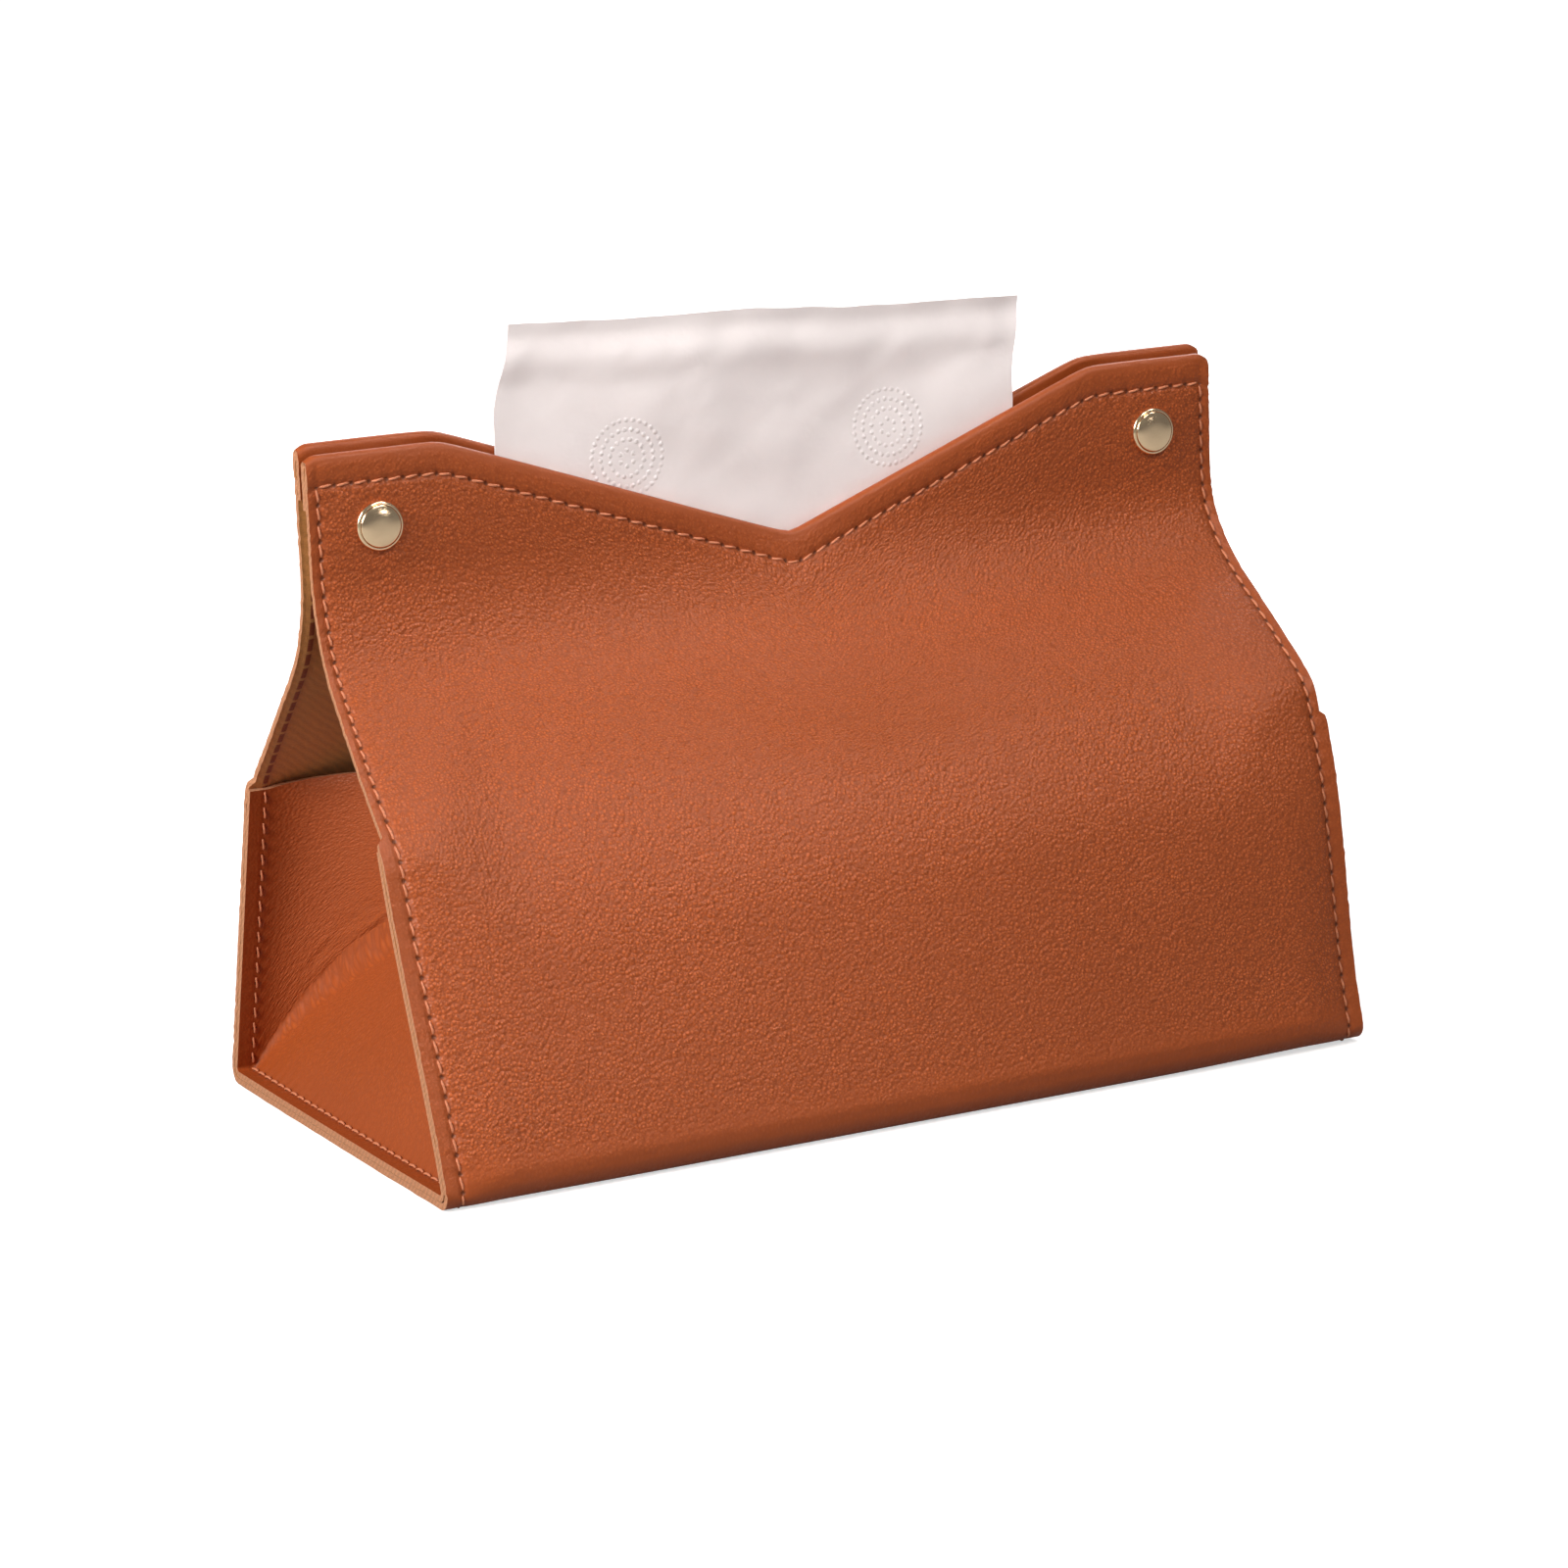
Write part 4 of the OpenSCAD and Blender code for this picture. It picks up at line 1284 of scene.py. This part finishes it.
class COVER_OT_press_studs(bpy.types.Operator):
    """Makes the domed caps and finishes the inner parts of the press studs"""

    bl_idname = "cover.press_studs"
    bl_label = "Press studs"

    def execute(self, context):
        for side, end in ENDS:
            build_cap(side, end)
            for part in ("socket", "spring", "stud", "rivet"):
                finish = "pale_gold_plating" if part == "rivet" else "satin_brass"
                node = frame["nodes"][f"{end}_snap_{part}"]
                node.data.materials.clear()
                node.data.materials.append(material_of(finish))
        return {"FINISHED"}


# The pack's layers: how far each is out of line along and across, and how much it is trimmed by,
# in millimetres
LAYER_GRID = (15, 11)
SHIFT_ALONG, SHIFT_ACROSS, LAYER_TRIM = (-0.5, 0.3), (-0.3, 0.3), (0.4, 1.0)
LAYER_WAVE, WAVES = 0.25 * MM, 30
LAYER_GAP = 0.08 * MM
TUCK = 1.2 * MM
RIM_ANGLE = 1.2
RIM_BEVEL = 0.3


def uv_from(bm, place):
    """Gives each corner its flat place in the tissue."""
    flat = bm.loops.layers.uv["flat"]
    for face in bm.faces:
        for loop in face.loops:
            loop[flat].uv = place(loop.vert)


def build_pack():
    """The soft pack: folded sheets, each a little out of line with the next."""
    random.seed(5)
    count = sizes().pack_sheets
    thick = (PACK_HIGH.z - PACK_LOW.z) / count
    size = PACK_HIGH - PACK_LOW
    whole = bmesh.new()
    for layer in range(count):
        bm, _ = grid_of(*LAYER_GRID)
        shift = Vector((random.uniform(*SHIFT_ALONG), random.uniform(*SHIFT_ACROSS), 0)) * MM
        trim = random.uniform(*LAYER_TRIM) * MM
        height = layer / (count - 1)
        tuck = TUCK * (2 * height - 1) ** 4
        for v in bm.verts:
            x = v.co.x * (size.x - 2 * trim) + shift.x
            y = v.co.y * (size.y - 2 * trim - 2 * tuck) + shift.y
            wave = LAYER_WAVE * flutter(x * WAVES, y * WAVES, 4.0) * height
            v.co = (x, y, PACK_LOW.z + layer * thick + wave)
        bmesh.ops.solidify(bm, geom=bm.faces, thickness=-(thick - LAYER_GAP))
        bmesh.ops.recalc_face_normals(bm, faces=bm.faces)
        rim = [e for e in bm.edges if e.is_manifold and e.calc_face_angle(0) > RIM_ANGLE]
        bmesh.ops.bevel(bm, geom=rim, offset=thick * RIM_BEVEL, offset_type="OFFSET",
                        affect="EDGES", segments=2, profile=0.5, material=-1)
        mesh = bpy.data.meshes.new("layer")
        bm.to_mesh(mesh)
        bm.free()
        whole.from_mesh(mesh)
        bpy.data.meshes.remove(mesh)
    uv_from(whole, lambda v: v.co.xy)
    obj = finish_mesh("folded_tissues", whole, "tissue_paper")
    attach(obj, "root")
    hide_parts("tissue_pack")


class COVER_OT_pack(bpy.types.Operator):
    """Makes the pack of folded tissues"""

    bl_idname = "cover.pack"
    bl_label = "Tissue pack"

    def execute(self, context):
        build_pack()
        return {"FINISHED"}


# The drawn tissue's edges, as shares of its size: the top from left to right, the sides from below
TOP_EDGE = (1.06, 1.03, 1.0, 0.985, 0.975, 0.925, 0.87, 0.84, 0.825, 0.8)
LEFT_EDGE = (1.0, 1.0, 1.01, 1.03, 1.045, 1.04, 0.97)
RIGHT_EDGE = (1.0, 1.0, 0.99, 0.975, 0.955, 0.965, 1.01)
TISSUE_GRID = (121, 113)
FREE_RUN = 22 * MM
# Crumples: how high, how many in a metre across and up, and where their noise is read
CRUMPLES = ((0.6 * MM, 30, 50, 2.0), (0.26 * MM, 80, 110, 6.0), (0.12 * MM, 200, 260, 8.0))
# The bands pressed along the top edge: how deep, how far below it and how wide
BANDS = ((-0.5 * MM, 9 * MM, 3.5 * MM), (0.4 * MM, 3 * MM, 2.5 * MM))
# The curled sides: how far, and over which shares of the width
LEFT_CURL, LEFT_CURL_RUN = 0.6 * MM, (0.06, 0.0)
RIGHT_CURL, RIGHT_CURL_RUN = 0.8 * MM, (0.93, 1.0)
DEEP_SWELL, FINE_SWELL, SWELL_SHARE = 1.2 * MM, 0.7 * MM, 0.7


def share_at(shares, u):
    """A value between the shares of an edge, at a share of its length."""
    s = min(max(u, 0.0), 1.0) * (len(shares) - 1)
    i = min(int(s), len(shares) - 2)
    return mix(shares[i], shares[i + 1], smooth(0, 1, s - i))


def tissue_lie(x, z, u, t, high):
    """How far the free part of the tissue stands forward or back."""
    swell = DEEP_SWELL * math.sin(5.2 * u + 3.4 * t) + FINE_SWELL * math.cos(8.5 * u)
    band = sum(depth * bell(high - z - below, width) for depth, below, width in BANDS)
    crumple = sum(rise * flutter(x * across, z * up, at) for rise, across, up, at in CRUMPLES)
    curl = RIGHT_CURL * smooth(*RIGHT_CURL_RUN, u) - LEFT_CURL * smooth(*LEFT_CURL_RUN, u)
    return swell * SWELL_SHARE + band + crumple + curl


def build_tissue_sheet():
    """The drawn tissue: straight through the mouth, and softly creased above it."""
    bm, places = grid_of(*TISSUE_GRID)
    half_width = (PACK_HIGH.x - PACK_LOW.x) / 2
    rise = (TISSUE_HIGH.z - FRONT_HIGH.z) / max(TOP_EDGE)
    for v, (i, j) in places.items():
        u, t = i / (TISSUE_GRID[0] - 1), j / (TISSUE_GRID[1] - 1)
        high = FRONT_HIGH.z + rise * share_at(TOP_EDGE, u)
        z = mix(TISSUE_LOW.z, high, t)
        x = half_width * mix(-share_at(LEFT_EDGE, t), share_at(RIGHT_EDGE, t), u)
        free = smooth(0, FREE_RUN, z - mouth_edge(x, BACK_HIGH.z))
        v.co = (x, free * tissue_lie(x, z, u, t, high), z)
    uv_from(bm, lambda v: v.co.xz)
    obj = finish_mesh("standing_tissue", bm, "tissue_paper")
    add_thickness(obj, sizes().tissue_sheet).offset = 0
    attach(obj, "drawn_tissue")
    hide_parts("drawn_tissue")


class COVER_OT_drawn_tissue(bpy.types.Operator):
    """Makes the tissue that stands in the mouth"""

    bl_idname = "cover.drawn_tissue"
    bl_label = "Drawn tissue"

    def execute(self, context):
        build_tissue_sheet()
        return {"FINISHED"}


# Stage: the photograph's camera, a pale floor and soft light
CAMERA_PLACE = Vector((-510.3, -1010.05, 317.8)) * MM
CAMERA_AIM = Vector((-0.3, 0.0, 65.9)) * MM
CAMERA_ROLL = math.radians(-2.41)
CAMERA_LENS = 116.65
SENSOR = 36.0
# Lamps: place, aim, size, power, tint and the angle in degrees that the light spreads to
LAMPS = {
    "key": ((-1.02, -0.22, 0.68), (0, 0, 0.07), 0.55, 16.0, (1.0, 0.98, 0.95), 180),
    "sheen": ((0.1, -0.74, 0.96), (-0.06, 0, 0.09), 0.24, 4.0, (1.0, 0.98, 0.95), 180),
    "card": ((0.45, -0.41, 1.03), (-0.05, -0.035, 0.105), 0.3, 0.12, (1.0, 0.98, 0.95), 26),
    "low_sheen": ((0.44, -1.02, 0.41), (-0.07, -0.055, 0.05), 0.15, 0.014, (1.0, 0.99, 0.98), 16),
    "back": ((0.7, 1.0, 0.75), (0, 0, 0.07), 0.8, 12.0, (1.0, 1.0, 1.0), 180),
}
WORLD_LIGHT = 0.17
FLOOR_HALF = 6


def make_camera():
    """The photograph's viewpoint."""
    data = bpy.data.cameras.new("camera")
    data.lens = CAMERA_LENS
    data.sensor_width = SENSOR
    camera = bpy.data.objects.new("camera", data)
    bpy.context.scene.collection.objects.link(camera)
    aim = (CAMERA_AIM - CAMERA_PLACE).normalized()
    turn = aim.to_track_quat("-Z", "Y").to_matrix() @ Matrix.Rotation(CAMERA_ROLL, 3, "Z")
    camera.matrix_world = Matrix.Translation(CAMERA_PLACE) @ turn.to_4x4()
    bpy.context.scene.camera = camera


def make_lamp(name, place, aim, size, power, tint, spread):
    """A soft square lamp, with a grid in front of it where its light spreads less."""
    data = bpy.data.lights.new(name, "AREA")
    data.size = size
    data.energy = power
    data.color = tint
    data.spread = math.radians(spread)
    obj = bpy.data.objects.new(name, data)
    bpy.context.scene.collection.objects.link(obj)
    turn = (Vector(aim) - Vector(place)).to_track_quat("-Z", "Y").to_matrix().to_4x4()
    obj.matrix_world = Matrix.Translation(place) @ turn


def make_world():
    """An even studio: light for the object, and white where it is seen."""
    world = bpy.data.worlds.new("studio")
    world.use_nodes = True
    nodes = Nodes(world.node_tree)
    background = next(n for n in world.node_tree.nodes if n.type == "BACKGROUND")
    strength = nodes.maths("MAXIMUM", seen_share(nodes), WORLD_LIGHT)
    nodes.feed(background.inputs, {"Color": WHITE, "Strength": strength})
    bpy.context.scene.world = world


def make_floor():
    """A pale floor that keeps the object's shadow."""
    bm = bmesh.new()
    bmesh.ops.create_grid(bm, x_segments=1, y_segments=1, size=FLOOR_HALF)
    obj = finish_mesh("floor", bm, "pale_floor", shade_smooth=False)


class COVER_OT_stage(bpy.types.Operator):
    """Sets the camera, the lamps, the floor and the world"""

    bl_idname = "cover.stage"
    bl_label = "Stage"

    def execute(self, context):
        context.scene.view_settings.view_transform = "Standard"
        make_camera()
        for name, values in LAMPS.items():
            make_lamp(name, *values)
        make_world()
        make_floor()
        return {"FINISHED"}


class COVER_PT_panel(bpy.types.Panel):
    """Lists the pieces of the tissue cover"""

    bl_idname = "COVER_PT_panel"
    bl_label = "Tissue cover"
    bl_space_type = "VIEW_3D"
    bl_region_type = "UI"
    bl_category = "Tissue cover"

    def draw(self, context):
        for group in (context.scene.cover_sizes, context.scene.cover_colours):
            box = self.layout.box()
            for name in group.__annotations__:
                box.prop(group, name)
        for operator in OPERATORS:
            self.layout.operator(operator.bl_idname)


OPERATORS = (COVER_OT_leather, COVER_OT_gussets, COVER_OT_stitching, COVER_OT_press_studs,
             COVER_OT_pack, COVER_OT_drawn_tissue, COVER_OT_stage)
CLASSES = (CoverSizes, CoverColours, COVER_PT_panel) + OPERATORS


def register():
    """Registers the classes and the settings."""
    for cls in CLASSES:
        bpy.utils.register_class(cls)
    bpy.types.Scene.cover_sizes = PointerProperty(type=CoverSizes)
    bpy.types.Scene.cover_colours = PointerProperty(type=CoverColours)


def unregister():
    """Removes the settings and the classes."""
    del bpy.types.Scene.cover_sizes
    del bpy.types.Scene.cover_colours
    for cls in reversed(CLASSES):
        bpy.utils.unregister_class(cls)


def main():
    """Builds the whole scene."""
    register()
    for operator in OPERATORS:
        group, name = operator.bl_idname.split(".")
        getattr(getattr(bpy.ops, group), name)()


if __name__ == "__main__":
    main()
